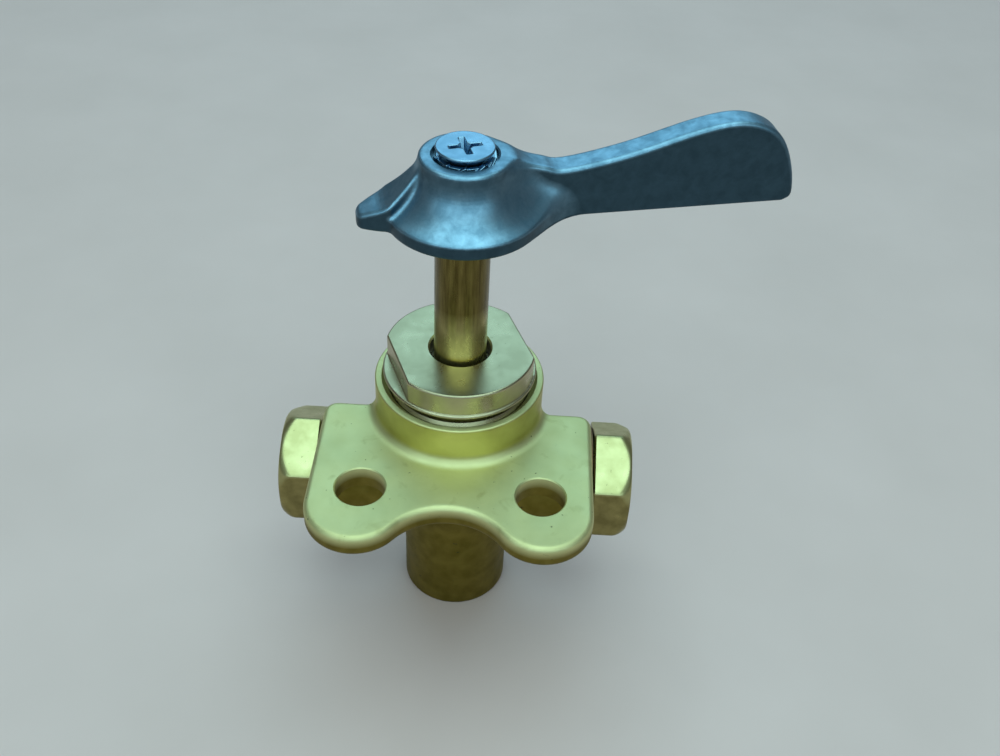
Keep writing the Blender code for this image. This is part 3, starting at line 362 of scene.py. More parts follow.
def bar(radius, size, along, low, high, edge=0.0):
    """A round bar, from its distance field to the axis and its place along it."""
    return both(radius - size, slab(along, low, high), edge)


def body_field(x, y, z):
    """The casting before it is bored: flange, neck, barrel, taper, boss, port tubes and web, all filleted."""
    y = y - AXIS_Y
    r = hypot(x, y)
    flange = both(polygon(x, y, OUTLINE) + FLANGE_SHY, slab(z, -FLANGE_THICKNESS, 0.0), FLANGE_ROUND)
    barrel = polygon(r, z, BARREL) - BARREL_ROUND
    across = hypot(y, z - PORT_Z)
    tube = bar(across, TUBE_RADIUS, x, -TUBE_REACH, TUBE_REACH, 0.4 * MM)
    web = both(np.abs(x) - TUBE_REACH + WEB_SETBACK, slab(y, WEB_FRONT, WEB_REAR), 0.6 * MM)
    web = both(web, slab(z, PORT_Z, -2 * MM), 0.3 * MM)
    shape = join(barrel, tube, TUBE_FILLET)
    shape = join(shape, web, WEB_FILLET)
    shape = join(shape, flange, FLANGE_FILLET)
    port = both(across - PORT_BORE, PORT_BORE_END - np.abs(x))
    gallery = both(across - GALLERY_RADIUS, GALLERY_END - np.abs(x))
    pin = np.maximum(hypot(x, z - PIN_LEVEL) - PIN_HOLE, PIN_HOLE_START - y)
    return cut(shape, np.minimum(np.minimum(port, gallery), pin), 0.2 * MM)


def barrel_outline():
    """Neck, taper and boss in section, drawn in by their rounding."""
    neck = NECK_RADIUS - BARREL_ROUND - 0.01 * MM
    boss = BOSS_RADIUS - BARREL_ROUND
    foot = FLOOR_Z + BARREL_ROUND
    ceiling = BODY_HIGH.z + 2 * MM
    bends = [(neck - 0.6 * MM, TAPER_TOP - 2.2 * MM), (boss + 0.7 * MM, TAPER_FOOT + 2.2 * MM)]
    taper = smooth_path([(neck, TAPER_TOP), *bends, (boss, TAPER_FOOT)], 3)
    return [(-4 * MM, foot), (-4 * MM, ceiling), (neck, ceiling)] + taper + [(boss, foot)]


OUTLINE = flange_outline()
BARREL = barrel_outline()


def bonnet_tool():
    """Trims the neck's rim and bores the chamber."""
    top = BODY_HIGH.z
    rim = rounded(NECK_RADIUS, top, 0.35 * MM)
    mouth = BONNET_BORE + NECK_CHAMFER
    outer = NECK_RADIUS + 2 * MM
    below = rim[0][1] - 0.4 * MM
    profile = [(0.0, top + 4 * MM), (outer, top + 4 * MM), (outer, below)]
    profile += [(NECK_RADIUS + 0.02 * MM, below)] + rim
    profile += [(mouth, top), (BONNET_BORE, top - NECK_CHAMFER), (BONNET_BORE, -BONNET_SEAT)]
    profile += [(CHAMBER_RADIUS, -BONNET_SEAT), (CHAMBER_RADIUS, CHAMBER_FLOOR), (0.0, CHAMBER_FLOOR)]
    return turned_tool("bonnet_bore", profile, (0.0, AXIS_Y), 256)


def passage_tool(x, foot):
    """A seat's counterbore and the passage under it."""
    seat = CHAMBER_FLOOR - SEAT_DEPTH
    top = CHAMBER_FLOOR + 1 * MM
    profile = [(0.0, top), (SEAT_RADIUS, top), (SEAT_RADIUS, seat)]
    profile += [(PASSAGE_RADIUS, seat), (PASSAGE_RADIUS, foot), (0.0, foot)]
    return turned_tool("passage", profile, (x, AXIS_Y), 48)


def socket_tool():
    """The bottom port's threaded socket."""
    angles = ring_angles(96)
    top = FLOOR_Z + SOCKET_LENGTH
    rows = [(SOCKET_RADIUS + 2.0 * MM, FLOOR_Z - 1.2 * MM), (0.02 * MM, FLOOR_Z - 1.2 * MM)]
    rows += [(0.02 * MM, top), (SOCKET_RADIUS - 1 * MM, top)]
    levels = thread_levels(top - 0.6 * MM, FLOOR_Z + 0.8 * MM)
    rows += [(thread_radius(angles, level), level) for level in levels]
    return loft("bottom_socket", rows[::-1], angles)


def ring_angles(count, *corners):
    """Evenly spaced angles, with three more at each corner."""
    angles = list(np.arange(count) * 2 * math.pi / count)
    for corner in corners:
        angles += [(corner + nudge) % (2 * math.pi) for nudge in (-0.012, -0.004, 0.004, 0.012)]
    return np.unique(np.round(angles, 6))


def thread_levels(start, end):
    steps = int(abs(end - start) / (THREAD_PITCH / 8))
    return [start + (end - start) * i / steps for i in range(steps + 1)]


def thread_radius(angles, level):
    """A threaded socket's radius all round, at one level."""
    wave = np.abs(((level / THREAD_PITCH - angles / (2 * math.pi)) % 1.0) * 2 - 1)
    return SOCKET_RADIUS + THREAD_DEPTH * (wave - 0.35)


def mounting_hole_tool(side):
    wear_and_painted_light = HOLE_RADIUS + 0.25 * MM
    foot = -FLANGE_THICKNESS - 3 * MM
    profile = [(0.0, 3 * MM), (wear_and_painted_light, 3 * MM), (wear_and_painted_light, 0.02 * MM)]
    profile += [(HOLE_RADIUS, -0.2 * MM), (HOLE_RADIUS, foot), (0.0, foot)]
    return turned_tool("mounting_hole", profile, (side * HOLE_SPACING / 2, 0.0))


def valve_body():
    piece = surface("valve_body_fine", "valve_body", body_field, BODY_VOXEL)
    holes = [mounting_hole_tool(side) for side in (-1, 1)]
    passages = [passage_tool(side * PASSAGE_SPREAD, PORT_Z) for side in (-1, 1)]
    middle = passage_tool(0.0, FLOOR_Z + SOCKET_LENGTH - 1 * MM)
    carve(piece, bonnet_tool(), *holes, *passages, middle, socket_tool())
    finish_piece(piece, "body", "cast_brass", CAST, "valve_body")


# ---------------------------------------------------------------- bonnet nut

NUT_RADIUS = 14.08 * MM
NUT_CAP = 13.68 * MM
NUT_SHANK = 13.0 * MM
NUT_HALF_FLATS = 11.85 * MM
NUT_TURN = math.radians(21.7)
NUT_UNDERCUT_Z = 6.9 * MM
NUT_LEDGE_Z = 9.0 * MM
NUT_LEDGE = 0.8 * MM
NUT_CAVITY = 8.5 * MM
NUT_WALL = 3.0 * MM
STEM_HOLE = 5.56 * MM


def bonnet_nut():
    """A cap with two wrench flats over a full-round ledge, an undercut and a shank, drawn without its thread.
    """
    corner = math.acos(NUT_HALF_FLATS / NUT_CAP)
    corners = [NUT_TURN + side * corner + half for side in (-1, 1) for half in (0, math.pi)]
    angles = ring_angles(240, *corners)
    flat = NUT_HALF_FLATS / np.maximum(np.abs(np.cos(angles - NUT_TURN)), 0.5)
    cap = soft_min(NUT_CAP, flat, 0.1 * MM)
    half = NUT_LEDGE / 2
    waist = NUT_SHANK - 0.5 * MM
    foot, top = NUT_LOW.z, NUT_HIGH.z
    rows = rounded(NUT_SHANK, foot, 0.3 * MM, up=False)
    rows += [(NUT_SHANK, NUT_UNDERCUT_Z - 0.5 * MM), (waist, NUT_UNDERCUT_Z)]
    rows += [(waist, NUT_LEDGE_Z - 0.2 * MM), (waist + 0.1 * MM, NUT_LEDGE_Z)]
    ledge = arc((NUT_RADIUS - half, NUT_LEDGE_Z + half), half, -90, 90, 8)
    rows += ledge
    above = NUT_LEDGE_Z + NUT_LEDGE
    rows += [(cap + 0.1 * MM, above + 0.02 * MM), (cap, above + 0.12 * MM)]
    rows += [(cap, level) for level in np.linspace(NUT_LEDGE_Z + 1.5 * MM, top - 0.6 * MM, 4)]
    rows += rounded(cap, top, 0.4 * MM)
    rows += [(STEM_HOLE + (cap - STEM_HOLE) * share, top) for share in (0.75, 0.5, 0.25)]
    rows += [(STEM_HOLE + 0.3 * MM, top), (STEM_HOLE, top - 0.3 * MM)]
    ceiling = top - NUT_WALL
    rows += [(STEM_HOLE, ceiling), (NUT_CAVITY, ceiling), (NUT_CAVITY, foot)]
    piece = loft("bonnet_nut_fine", rows, angles)
    finish_piece(piece, "body", "machined_brass", TURNED, "bonnet_nut")


# ---------------------------------------------------------------- port bushings

HEX_FLATS = (PORT_HIGH.y - PORT_LOW.y) / 2
HEX_INNER = TUBE_REACH + 1.3 * MM
HEX_CHAMFER_START = 10.15 * MM
HEX_CHAMFER_SLOPE = 0.8
HEX_CHAMFER_BLEND = 0.8 * MM
SHANK_RADIUS = 8.4 * MM
PORT_SOCKET_LENGTH = 14.0 * MM
BUSHING_BORE = 4.4 * MM


def port_bushing(label, side):
    """A hexagon with a turned outer chamfer, on a round shank, with a threaded socket."""
    corners = [math.radians(60 * i + 30) for i in range(6)]
    angles = ring_angles(240, *corners)
    facet = (angles + math.pi / 6) % (math.pi / 3) - math.pi / 6
    hexagon = soft_min(HEX_FLATS / np.cos(facet), HEX_FLATS / COS30 - 0.12 * MM, 0.25 * MM)
    face = PORT_HIGH.x
    foot = PORT_LOW.x
    rows = rounded(SHANK_RADIUS, foot, 0.4 * MM, up=False)
    rows += [(SHANK_RADIUS, HEX_INNER - 0.2 * MM), (SHANK_RADIUS + 0.2 * MM, HEX_INNER)]
    rows += [(HEX_FLATS - 0.5 * MM, HEX_INNER), (hexagon - 0.3 * MM, HEX_INNER)]
    rows += [(hexagon, HEX_INNER + 0.3 * MM)]
    for level in np.linspace(HEX_INNER + 1.5 * MM, face, 26):
        cone = HEX_CHAMFER_START + (face - level) * HEX_CHAMFER_SLOPE
        rows.append((soft_min(hexagon, cone, HEX_CHAMFER_BLEND), level))
    last = rows.pop()[0]
    rows += [(last, face - 0.1 * MM), (last - 0.12 * MM, face)]
    rows += [(SOCKET_RADIUS + 0.9 * MM, face)]
    levels = thread_levels(face - 0.8 * MM, face - 13.2 * MM)
    rows += [(thread_radius(angles, level), level) for level in levels]
    end = face - PORT_SOCKET_LENGTH
    rows += [(SOCKET_RADIUS - 0.3 * MM, end), (BUSHING_BORE, end - 1.4 * MM), (BUSHING_BORE, foot)]
    piece = loft(label + "_port_bushing_fine", rows, angles, "x", side)
    finish_piece(piece, "body", "machined_brass", DRAWN, label + "_port_bushing")


# ---------------------------------------------------------------- stem

STEM_RADIUS = 4.76 * MM
STEM_HALF_FLATS = 3.9 * MM
TANG_HALF_WIDTH = 2.0 * MM
COLLAR_RADIUS = 7.5 * MM
COLLAR_FOOT = 1.6 * MM
COLLAR_TOP = 3.6 * MM
STEM_FLATS_LENGTH = 6.4 * MM
TAPPED_RADIUS = 2.6 * MM


def stem():
    """A bar with a tang, a thrust collar, flats for the handle and a tapped top."""
    turns = [LEVER_TURN + math.pi * half + side * math.acos(0.82) for half in (0.5, 1.5) for side in (-1, 1)]
    angles = ring_angles(160, *turns)
    across = np.maximum(np.abs(np.sin(angles - LEVER_TURN)), 0.2)
    round_bar = np.full(len(angles), STEM_RADIUS)
    flats = np.minimum(round_bar, STEM_HALF_FLATS / across)
    tang = np.minimum(round_bar, TANG_HALF_WIDTH / across)
    tang_top = ROTOR_HIGH.z + GAP
    flats_z = STEM_HIGH.z - STEM_FLATS_LENGTH
    rows = [(tang - 0.1 * MM, STEM_LOW.z), (tang, STEM_LOW.z + 0.1 * MM), (tang, tang_top)]
    rows += [(round_bar, tang_top), (round_bar, COLLAR_FOOT), (COLLAR_RADIUS - 0.1 * MM, COLLAR_FOOT)]
    rows += [(COLLAR_RADIUS, COLLAR_FOOT + 0.1 * MM), (COLLAR_RADIUS, COLLAR_TOP - 0.1 * MM)]
    rows += [(COLLAR_RADIUS - 0.1 * MM, COLLAR_TOP), (round_bar, COLLAR_TOP)]
    rows += [(round_bar, level) for level in np.linspace(8 * MM, flats_z, 12)]
    rows += [(flats, flats_z), (flats, STEM_HIGH.z - 0.4 * MM), (flats - 0.4 * MM, STEM_HIGH.z)]
    rows += [(TAPPED_RADIUS, STEM_HIGH.z), (TAPPED_RADIUS, 36.5 * MM)]
    rows += [(0.02 * MM, 36.0 * MM), (0.02 * MM, STEM_LOW.z)]
    piece = loft("stem_fine", rows, angles)
    finish_piece(piece, "handle", "stem_brass", BAR, "stem")


# ---------------------------------------------------------------- handle

HANDLE_BOTTOM = HANDLE_LOW.z
BOSS_TOP = SCREW_HIGH.z - 1.25 * MM
RECESS_FLOOR = BOSS_TOP - 1.2 * MM
SKIRT_RADIUS = 13.05 * MM
SKIRT_BAND = 2.6 * MM
SKIRT_EDGE = 0.5 * MM
BOSS_TOP_RADIUS = 7.5 * MM
FLARE_KNOTS = ((0.0, 0.0), (0.05, 0.22), (0.17, 0.45), (0.4, 0.68), (0.7, 0.87), (1.0, 1.0))
BLADE_REACH = 56.66 * MM
BLADE_CROWN = HANDLE_HIGH.z - HANDLE_BOTTOM
BLADE_CROWN_REACH = 44.8 * MM
BLADE_WAIST = 8.8 * MM
BLADE_WAIST_REACH = 16.5 * MM
BLADE_HALF_THICKNESS = 2.42 * MM
BLADE_BACK_KNOTS = ((0.76, 0.84), (0.35, 0.3))
BLADE_END_KNOTS = ((0.1, 0.42), (0.3, 0.74), (0.58, 0.92))
BLADE_ROOT_KNOTS = ((5.2 * MM, 0.22), (2.0 * MM, 0.5), (-1.5 * MM, 0.6))
BLADE_EDGE = 0.8 * MM
BELL_EDGE = 0.9 * MM
HOLLOW_INNER = 7.3 * MM
HOLLOW_OUTER = 10.9 * MM
HOLLOW_DEPTH = 3.6 * MM
SOCKET_BORE = 5.21 * MM
SOCKET_MOUTH = 5.8 * MM
RECESS_RADIUS = 5.45 * MM
POINTER_REACH = 17.6 * MM
POINTER_ROOT = 12.3 * MM
POINTER_HALF_WIDTH = 3.5 * MM
CREST_KNOTS = ((17.8, 2.3), (15.5, 3.3), (13.0, 4.5), (10.2, 7.0), (8.2, 9.3), (6.5, 11.2))


def bell_outline():
    """The hub in section, drawn in by the rounding of its skirt."""
    band = HANDLE_BOTTOM + SKIRT_BAND - SKIRT_EDGE
    shoulder = BOSS_TOP - 0.9 * MM
    height = shoulder - band
    width = SKIRT_RADIUS - BOSS_TOP_RADIUS
    root = BOSS_TOP_RADIUS - SKIRT_EDGE
    flare = [(root + width * out, shoulder - height * down) for out, down in FLARE_KNOTS]
    foot = HANDLE_BOTTOM - 4 * MM
    return [(-4 * MM, BOSS_TOP + 4 * MM), (root, BOSS_TOP + 4 * MM)] + smooth_path(flare, 3) + [
        (SKIRT_RADIUS - SKIRT_EDGE, foot),
        (-4 * MM, foot),
    ]


def blade_outline():
    """The lever's side view, from its root in the hub round the crown to the straight lower edge."""
    crown = BLADE_CROWN
    rise = crown - BLADE_WAIST
    span = BLADE_CROWN_REACH - BLADE_WAIST_REACH
    fall = BLADE_REACH - BLADE_CROWN_REACH
    climb = BOSS_TOP - HANDLE_BOTTOM - BLADE_WAIST
    knots = [(BLADE_REACH - 1.2 * MM, 0.0), (BLADE_REACH - 0.1 * MM, 0.09 * crown)]
    knots += [(BLADE_REACH - back * fall, up * crown) for back, up in BLADE_END_KNOTS]
    knots.append((BLADE_CROWN_REACH, crown))
    knots += [(BLADE_WAIST_REACH + out * span, BLADE_WAIST + up * rise) for out, up in BLADE_BACK_KNOTS]
    knots.append((BLADE_WAIST_REACH, BLADE_WAIST))
    knots += [(BOSS_TOP_RADIUS + out, BLADE_WAIST + up * climb) for out, up in BLADE_ROOT_KNOTS]
    outline = [(BOSS_TOP_RADIUS - 1.5 * MM, -3 * MM), (BLADE_REACH - 1.2 * MM, -3 * MM)]
    return [(reach, HANDLE_BOTTOM + height) for reach, height in outline + smooth_path(knots, 5)]


def handle_field(x, y, z):
    """Hub, blade and pointer, blended as one casting, with the hollow under the skirt."""
    u, v = lever_axes(x, y)
    r = hypot(u, v)
    height = z - HANDLE_BOTTOM
    share = np.clip(height / (11 * MM), 0, 1)
    bell = both(polygon(r, z, BELL) - SKIRT_EDGE, z - BOSS_TOP, BELL_EDGE)
    blade = both(polygon(u, z, BLADE), np.abs(v) - BLADE_HALF_THICKNESS, BLADE_EDGE)
    shape = join(bell, blade, (7.5 - share * 4.5) * MM)
    reach = -u
    crest = np.interp(reach, CREST_REACH, CREST_HEIGHT)
    slope = np.interp(reach, CREST_REACH, CREST_SLOPE)
    over = (height - crest) * slope
    tip = np.clip((reach - POINTER_ROOT) / (POINTER_REACH - POINTER_ROOT), 0, 1)
    root = np.clip((POINTER_ROOT - reach) / (5 * MM), 0, 1)
    width = POINTER_HALF_WIDTH - tip**1.5 * 1.9 * MM - root * 2.0 * MM
    flank = (np.abs(v) - width - np.clip(-over, 0, 3 * MM) * 0.35 * root) * 0.88
    pointer = both(flank, slab(reach, 4 * MM, POINTER_REACH), 0.9 * MM)
    pointer = both(pointer, over, 0.6 * MM)
    shape = join(shape, pointer, 0.7 * MM)
    shape = cut(shape, both(r - 20 * MM, BOSS_TOP - z), 0.8 * MM)
    shape = both(shape, -height, 0.4 * MM)
    hollow = both(slab(r, HOLLOW_INNER, HOLLOW_OUTER - height * 0.25), height - HOLLOW_DEPTH, 0.5 * MM)
    return cut(shape, hollow, 0.3 * MM)


BELL = bell_outline()
BLADE = blade_outline()
CREST_PATH = smooth_path([(-reach * MM, height * MM) for reach, height in CREST_KNOTS], 4)
CREST_REACH = np.array([-u for u, _ in CREST_PATH])[::-1]
CREST_HEIGHT = np.array([height for _, height in CREST_PATH])[::-1]
CREST_SLOPE = 1 / np.sqrt(1 + np.gradient(CREST_HEIGHT, CREST_REACH) ** 2)


def handle():
    piece = surface("handle_fine", "handle", handle_field, HANDLE_VOXEL)
    floor = RECESS_FLOOR
    sink = floor - 0.9 * MM
    recess = [(0.0, BOSS_TOP + 2 * MM), (6.4 * MM, BOSS_TOP + 2 * MM), (6.4 * MM, BOSS_TOP + 0.2 * MM)]
    recess += [(RECESS_RADIUS + 0.3 * MM, BOSS_TOP + 0.02 * MM), (RECESS_RADIUS, BOSS_TOP - 0.28 * MM)]
    recess += [(RECESS_RADIUS, floor), (4.0 * MM, floor), (TAPPED_RADIUS, sink)]
    recess += [(TAPPED_RADIUS, STEM_HIGH.z - 1 * MM), (0.0, STEM_HIGH.z - 1 * MM)]
    flats_z = STEM_HIGH.z - STEM_FLATS_LENGTH + GAP
    foot = HANDLE_BOTTOM - 2 * MM
    socket = [(0.0, flats_z), (SOCKET_BORE, flats_z), (SOCKET_BORE, HANDLE_BOTTOM + 0.3 * MM)]
    socket += [(SOCKET_MOUTH, HANDLE_BOTTOM - 0.3 * MM), (SOCKET_MOUTH, foot), (0.0, foot)]
    angles = ring_angles(96)
    across = np.maximum(np.abs(np.sin(angles - LEVER_TURN)), 0.2)
    double_d = np.minimum(STEM_RADIUS + GAP, (STEM_HALF_FLATS + GAP) / across)
    top = STEM_HIGH.z + GAP
    start = flats_z - 0.5 * MM
    keyed = [(double_d, start), (double_d, top), (0.02 * MM, top), (0.02 * MM, start)]
    tools = (
        turned_tool("handle_recess", recess, (0.0, AXIS_Y), 160),
        turned_tool("stem_socket", socket, (0.0, AXIS_Y), 96),
        loft("keyed_socket", keyed, angles),
    )
    carve(piece, *tools)
    finish_piece(piece, "handle", "cast_zinc", ZINC, "handle")


# ---------------------------------------------------------------- screw and lock washer

HEAD_RADIUS = 4.8 * MM
SCREW_SHANK = 2.3 * MM
WASHER_INNER = 3.85 * MM
WASHER_OUTER = 4.6 * MM
TOOTH_REACH = 5.12 * MM
TOOTH_COUNT = 10
CROSS_TURN = math.radians(5.0)


def screw_field(x, y, z):
    """A countersunk head with a tapered cross recess, on a plain shank."""
    u, v = lever_axes(x, y)
    r = hypot(u, v)
    depth = SCREW_HIGH.z - z
    head = both(both(r - HEAD_RADIUS, -depth, 0.3 * MM), (r - HEAD_RADIUS - 0.4 * MM + depth) * 0.7, 0.1 * MM)
    shank = both(r - SCREW_SHANK, slab(z, SCREW_LOW.z, SCREW_HIGH.z - 1 * MM), 0.3 * MM)
    c, s = math.cos(CROSS_TURN), math.sin(CROSS_TURN)
    a, b = np.abs(u * c + v * s), np.abs(v * c - u * s)
    long, short = np.maximum(a, b), np.minimum(a, b)
    wing = both(long - 2.75 * MM + depth * 0.55, short - 0.5 * MM + depth * 0.08, 0.15 * MM)
    heart = (long + short - 1.55 * MM + depth * 0.45) * 0.6
    cross = np.maximum(np.minimum(wing, heart), depth - 2.2 * MM)
    return cut(np.minimum(head, shank), cross * 0.85, 0.15 * MM)


def washer_field(x, y, z):
    """A thin ring with teeth round it, each with a twist."""
    u, v = lever_axes(x, y)
    r = hypot(u, v)
    pitch = 2 * math.pi / TOOTH_COUNT
    angle = (np.arctan2(v, u) + pitch / 2) % pitch - pitch / 2
    middle = (WASHER_LOW.z + WASHER_HIGH.z) / 2
    ring = both(slab(r, WASHER_INNER, WASHER_OUTER), np.abs(z - middle) - 0.22 * MM, 0.08 * MM)
    twist = np.abs((z - middle) - angle * r * 0.55) * 0.85 - 0.18 * MM
    tooth = both(twist, slab(r, WASHER_OUTER - 0.3 * MM, TOOTH_REACH), 0.08 * MM)
    tooth = both(tooth, np.abs(angle) * r - 0.9 * MM, 0.08 * MM)
    return np.minimum(ring, tooth)


def small_fittings():
    screw = surface("handle_screw_fine", "handle_screw", screw_field, SCREW_VOXEL, SCREW_KEEP)
    finish_piece(screw, "handle", "plated_steel", PLATED, "handle_screw")
    washer = surface("handle_lock_washer_fine", "handle_lock_washer", washer_field, WASHER_VOXEL)
    finish_piece(washer, "handle", "plated_steel", PLATED, "handle_lock_washer")


# ---------------------------------------------------------------- materials


class Shader:
    """A Principled material under construction, with short names for its nodes."""

    def __init__(self, name, metallic):
        self.material = bpy.data.materials.new(name)
        self.material.use_nodes = True
        self.tree = self.material.node_tree
        self.surface = self.tree.nodes["Principled BSDF"]
        self.surface.inputs["Metallic"].default_value = metallic
        self.place = self.add("ShaderNodeTexCoord").outputs["Object"]

    def add(self, kind, links=None, **settings):
        node = self.tree.nodes.new(kind)
        for key, value in settings.items():
            setattr(node, key, value)
        for key, value in (links or {}).items():
            if isinstance(value, bpy.types.NodeSocket):
                self.tree.links.new(value, node.inputs[key])
            else:
                node.inputs[key].default_value = value
        return node

    def noise(self, size, detail=3.0, place=None, roughness=0.5, distortion=0.0):
        """Noise whose patches are about as large as the given length."""
        links = {"Vector": place or self.place, "Scale": 1 / size, "Detail": detail, "Roughness": roughness}
        links["Distortion"] = distortion
        return self.add("ShaderNodeTexNoise", links).outputs["Fac"]

    def stretched(self, factors):
        links = {"Vector": self.place, "Scale": factors}
        return self.add("ShaderNodeMapping", links).outputs["Vector"]

    def ramp(self, value, low, high, start=0.0, end=1.0):
        """A value clamped to a range and mapped to another."""
        links = {"Value": value, "From Min": low, "From Max": high, "To Min": start, "To Max": end}
        return self.add("ShaderNodeMapRange", links, clamp=True).outputs["Result"]

    def times(self, a, b):
        return self.math("MULTIPLY", a, b)

    def math(self, operation, a, b=0.0):
        return self.add("ShaderNodeMath", {0: a, 1: b}, operation=operation).outputs["Value"]

    def mix(self, share, a, b):
        node = self.add("ShaderNodeMix", data_type="RGBA")
        for socket, value in ((0, share), (6, a), (7, b)):
            if isinstance(value, bpy.types.NodeSocket):
                self.tree.links.new(value, node.inputs[socket])
            elif isinstance(value, tuple):
                node.inputs[socket].default_value = (*value, 1.0)
            else:
                node.inputs[socket].default_value = value
        return node.outputs[2]

    def height(self):
        return self.add("ShaderNodeSeparateXYZ", {0: self.place}).outputs["Z"]

    def upward(self):
        """How far the surface faces up, which places painted light and painted shade, and picks out walls."""
        normal = self.add("ShaderNodeNewGeometry").outputs["Normal"]
        return self.add("ShaderNodeSeparateXYZ", {0: normal}).outputs["Z"]

    def rings(self, pitch):
        """Turning marks: rings round the stem's axis, and lines round the walls."""
        shift = {0: self.place, 1: (0.0, -AXIS_Y, 0.0)}
        centred = self.add("ShaderNodeVectorMath", shift, operation="ADD").outputs["Vector"]
        flat = self.add("ShaderNodeVectorMath", {0: centred, 1: (1.0, 1.0, 0.0)}, operation="MULTIPLY")
        radius = self.add("ShaderNodeVectorMath", {0: flat.outputs["Vector"]}, operation="LENGTH")
        travel = self.math("ADD", radius.outputs["Value"], self.height())
        phase = self.times(travel, 2 * math.pi / pitch)
        return self.ramp(self.math("SINE", phase), -1, 1)

    def finish(self, colour, roughness, *heights):
        """Links colour and roughness, and lays the heights on one another as bumps of their own depth."""
        self.tree.links.new(colour, self.surface.inputs["Base Color"])
        self.tree.links.new(roughness, self.surface.inputs["Roughness"])
        below = None
        for height, depth in heights:
            links = {"Height": height, "Distance": depth, "Strength": 1.0}
            if below is not None:
                links["Normal"] = below
            below = self.add("ShaderNodeBump", links).outputs["Normal"]
        if below is not None:
            self.tree.links.new(below, self.surface.inputs["Normal"])
        return self.material


def cast_brass():
    """Tumbled casting: satin, with a sandy grain, faint stains and a few dark pits, and painted shade below
    the flange.
    """
    shader = Shader("cast_brass", 1.0)
    patches = shader.ramp(shader.noise(9 * MM, 3), 0.35, 0.65)
    colour = shader.mix(patches, (0.61, 0.59, 0.29), (0.69, 0.66, 0.33))
    stains = shader.ramp(shader.noise(3.5 * MM, 5, distortion=0.6), 0.6, 0.75, 0.0, 0.35)
    colour = shader.mix(stains, colour, (0.38, 0.34, 0.12))
    # Painted shade: below the flange's top edge the body turns a dark, blotchy olive.
    low = shader.ramp(shader.height(), -2.5 * MM, -0.6 * MM, 1.0, 0.0)
    blotches = shader.ramp(shader.noise(3 * MM, 4), 0.35, 0.65)
    painted_shade_brass = shader.mix(blotches, (0.16, 0.12, 0.017), (0.225, 0.17, 0.033))
    colour = shader.mix(low, colour, painted_shade_brass)
    pits = shader.ramp(shader.noise(0.9 * MM, 2), 0.73, 0.78)
    colour = shader.mix(pits, colour, (0.05, 0.05, 0.02))
    roughness = shader.ramp(shader.noise(5 * MM, 4), 0.3, 0.7, 0.48, 0.60)
    wall = shader.ramp(shader.upward(), 0.4, 0.95, 0.85, 0)
    machined = shader.times(shader.ramp(shader.height(), 0.3 * MM, 1.8 * MM), wall)
    colour = shader.mix(machined, colour, shader.mix(patches, (0.46, 0.40, 0.11), (0.64, 0.58, 0.19)))
    roughness = shader.math("SUBTRACT", roughness, shader.times(machined, 0.16))
    grain = shader.noise(0.35 * MM, 3)
    return shader.finish(colour, roughness, (grain, 0.012 * MM), (pits, -0.1 * MM))


def turned_brass():
    """Machined brass: fine turning marks, handling smudges."""
    shader = Shader("machined_brass", 1.0)
    smudges = shader.ramp(shader.noise(4 * MM, 4, distortion=0.4), 0.35, 0.7)
    colour = shader.mix(smudges, (0.43, 0.38, 0.23), (0.50, 0.44, 0.27))
    specks = shader.ramp(shader.noise(0.7 * MM, 3), 0.7, 0.78, 0.0, 0.6)
    colour = shader.mix(specks, colour, (0.12, 0.10, 0.04))
    roughness = shader.ramp(smudges, 0, 1, 0.34, 0.24)
    grain = shader.noise(0.25 * MM, 2)
    return shader.finish(colour, roughness, (shader.rings(0.22 * MM), 0.0016 * MM), (grain, 0.003 * MM))


def drawn_brass():
    """Drawn hexagon bar: faint lines along it, a soft shine, dark specks and painted shade on the facets that
    face down.
    """
    shader = Shader("drawn_brass", 1.0)
    streaks = shader.noise(0.5 * MM, 3, shader.stretched((0.06, 1.0, 1.0)))
    patches = shader.ramp(shader.noise(3 * MM, 4), 0.35, 0.7)
    colour = shader.mix(patches, (0.48, 0.45, 0.20), (0.58, 0.55, 0.27))
    specks = shader.ramp(shader.noise(0.6 * MM, 3), 0.68, 0.78, 0.0, 0.7)
    colour = shader.mix(specks, colour, (0.10, 0.08, 0.03))
    # Painted shade: facets that face down or sideways take a dark tone.
    under = shader.ramp(shader.upward(), 0.1, 0.45, 0.8, 0.0)
    colour = shader.mix(under, colour, shader.mix(patches, (0.13, 0.09, 0.02), (0.26, 0.20, 0.06)))
    roughness = shader.ramp(patches, 0, 1, 0.36, 0.26)
    return shader.finish(colour, roughness, (streaks, 0.004 * MM), (shader.noise(0.3 * MM, 2), 0.004 * MM))


def stem_brass():
    """Drawn bar: dark, with lengthwise streaks, and a patchy painted reflection of the nut's top low down."""
    shader = Shader("stem_brass", 1.0)
    streaks = shader.noise(0.7 * MM, 4, shader.stretched((1.0, 1.0, 0.07)), 0.6)
    patches = shader.ramp(shader.noise(3 * MM, 4, shader.stretched((1.0, 1.0, 0.4)), 0.6), 0.4, 0.65)
    colour = shader.mix(shader.ramp(streaks, 0.35, 0.65), (0.09, 0.065, 0.018), (0.19, 0.145, 0.045))
    # Painted reflection of the nut's top: toward its foot the stem turns bright brass, in patches.
    painted_light = shader.ramp(shader.height(), 15 * MM, 25 * MM, 1.0, 0.0)
    painted_light = shader.times(painted_light, shader.ramp(patches, 0, 1, 0.55, 1))
    colour = shader.mix(painted_light, colour, (0.98, 0.86, 0.38))
    roughness = shader.ramp(patches, 0, 1, 0.36, 0.24)
    return shader.finish(colour, roughness, (streaks, 0.006 * MM), (shader.rings(0.16 * MM), 0.001 * MM))


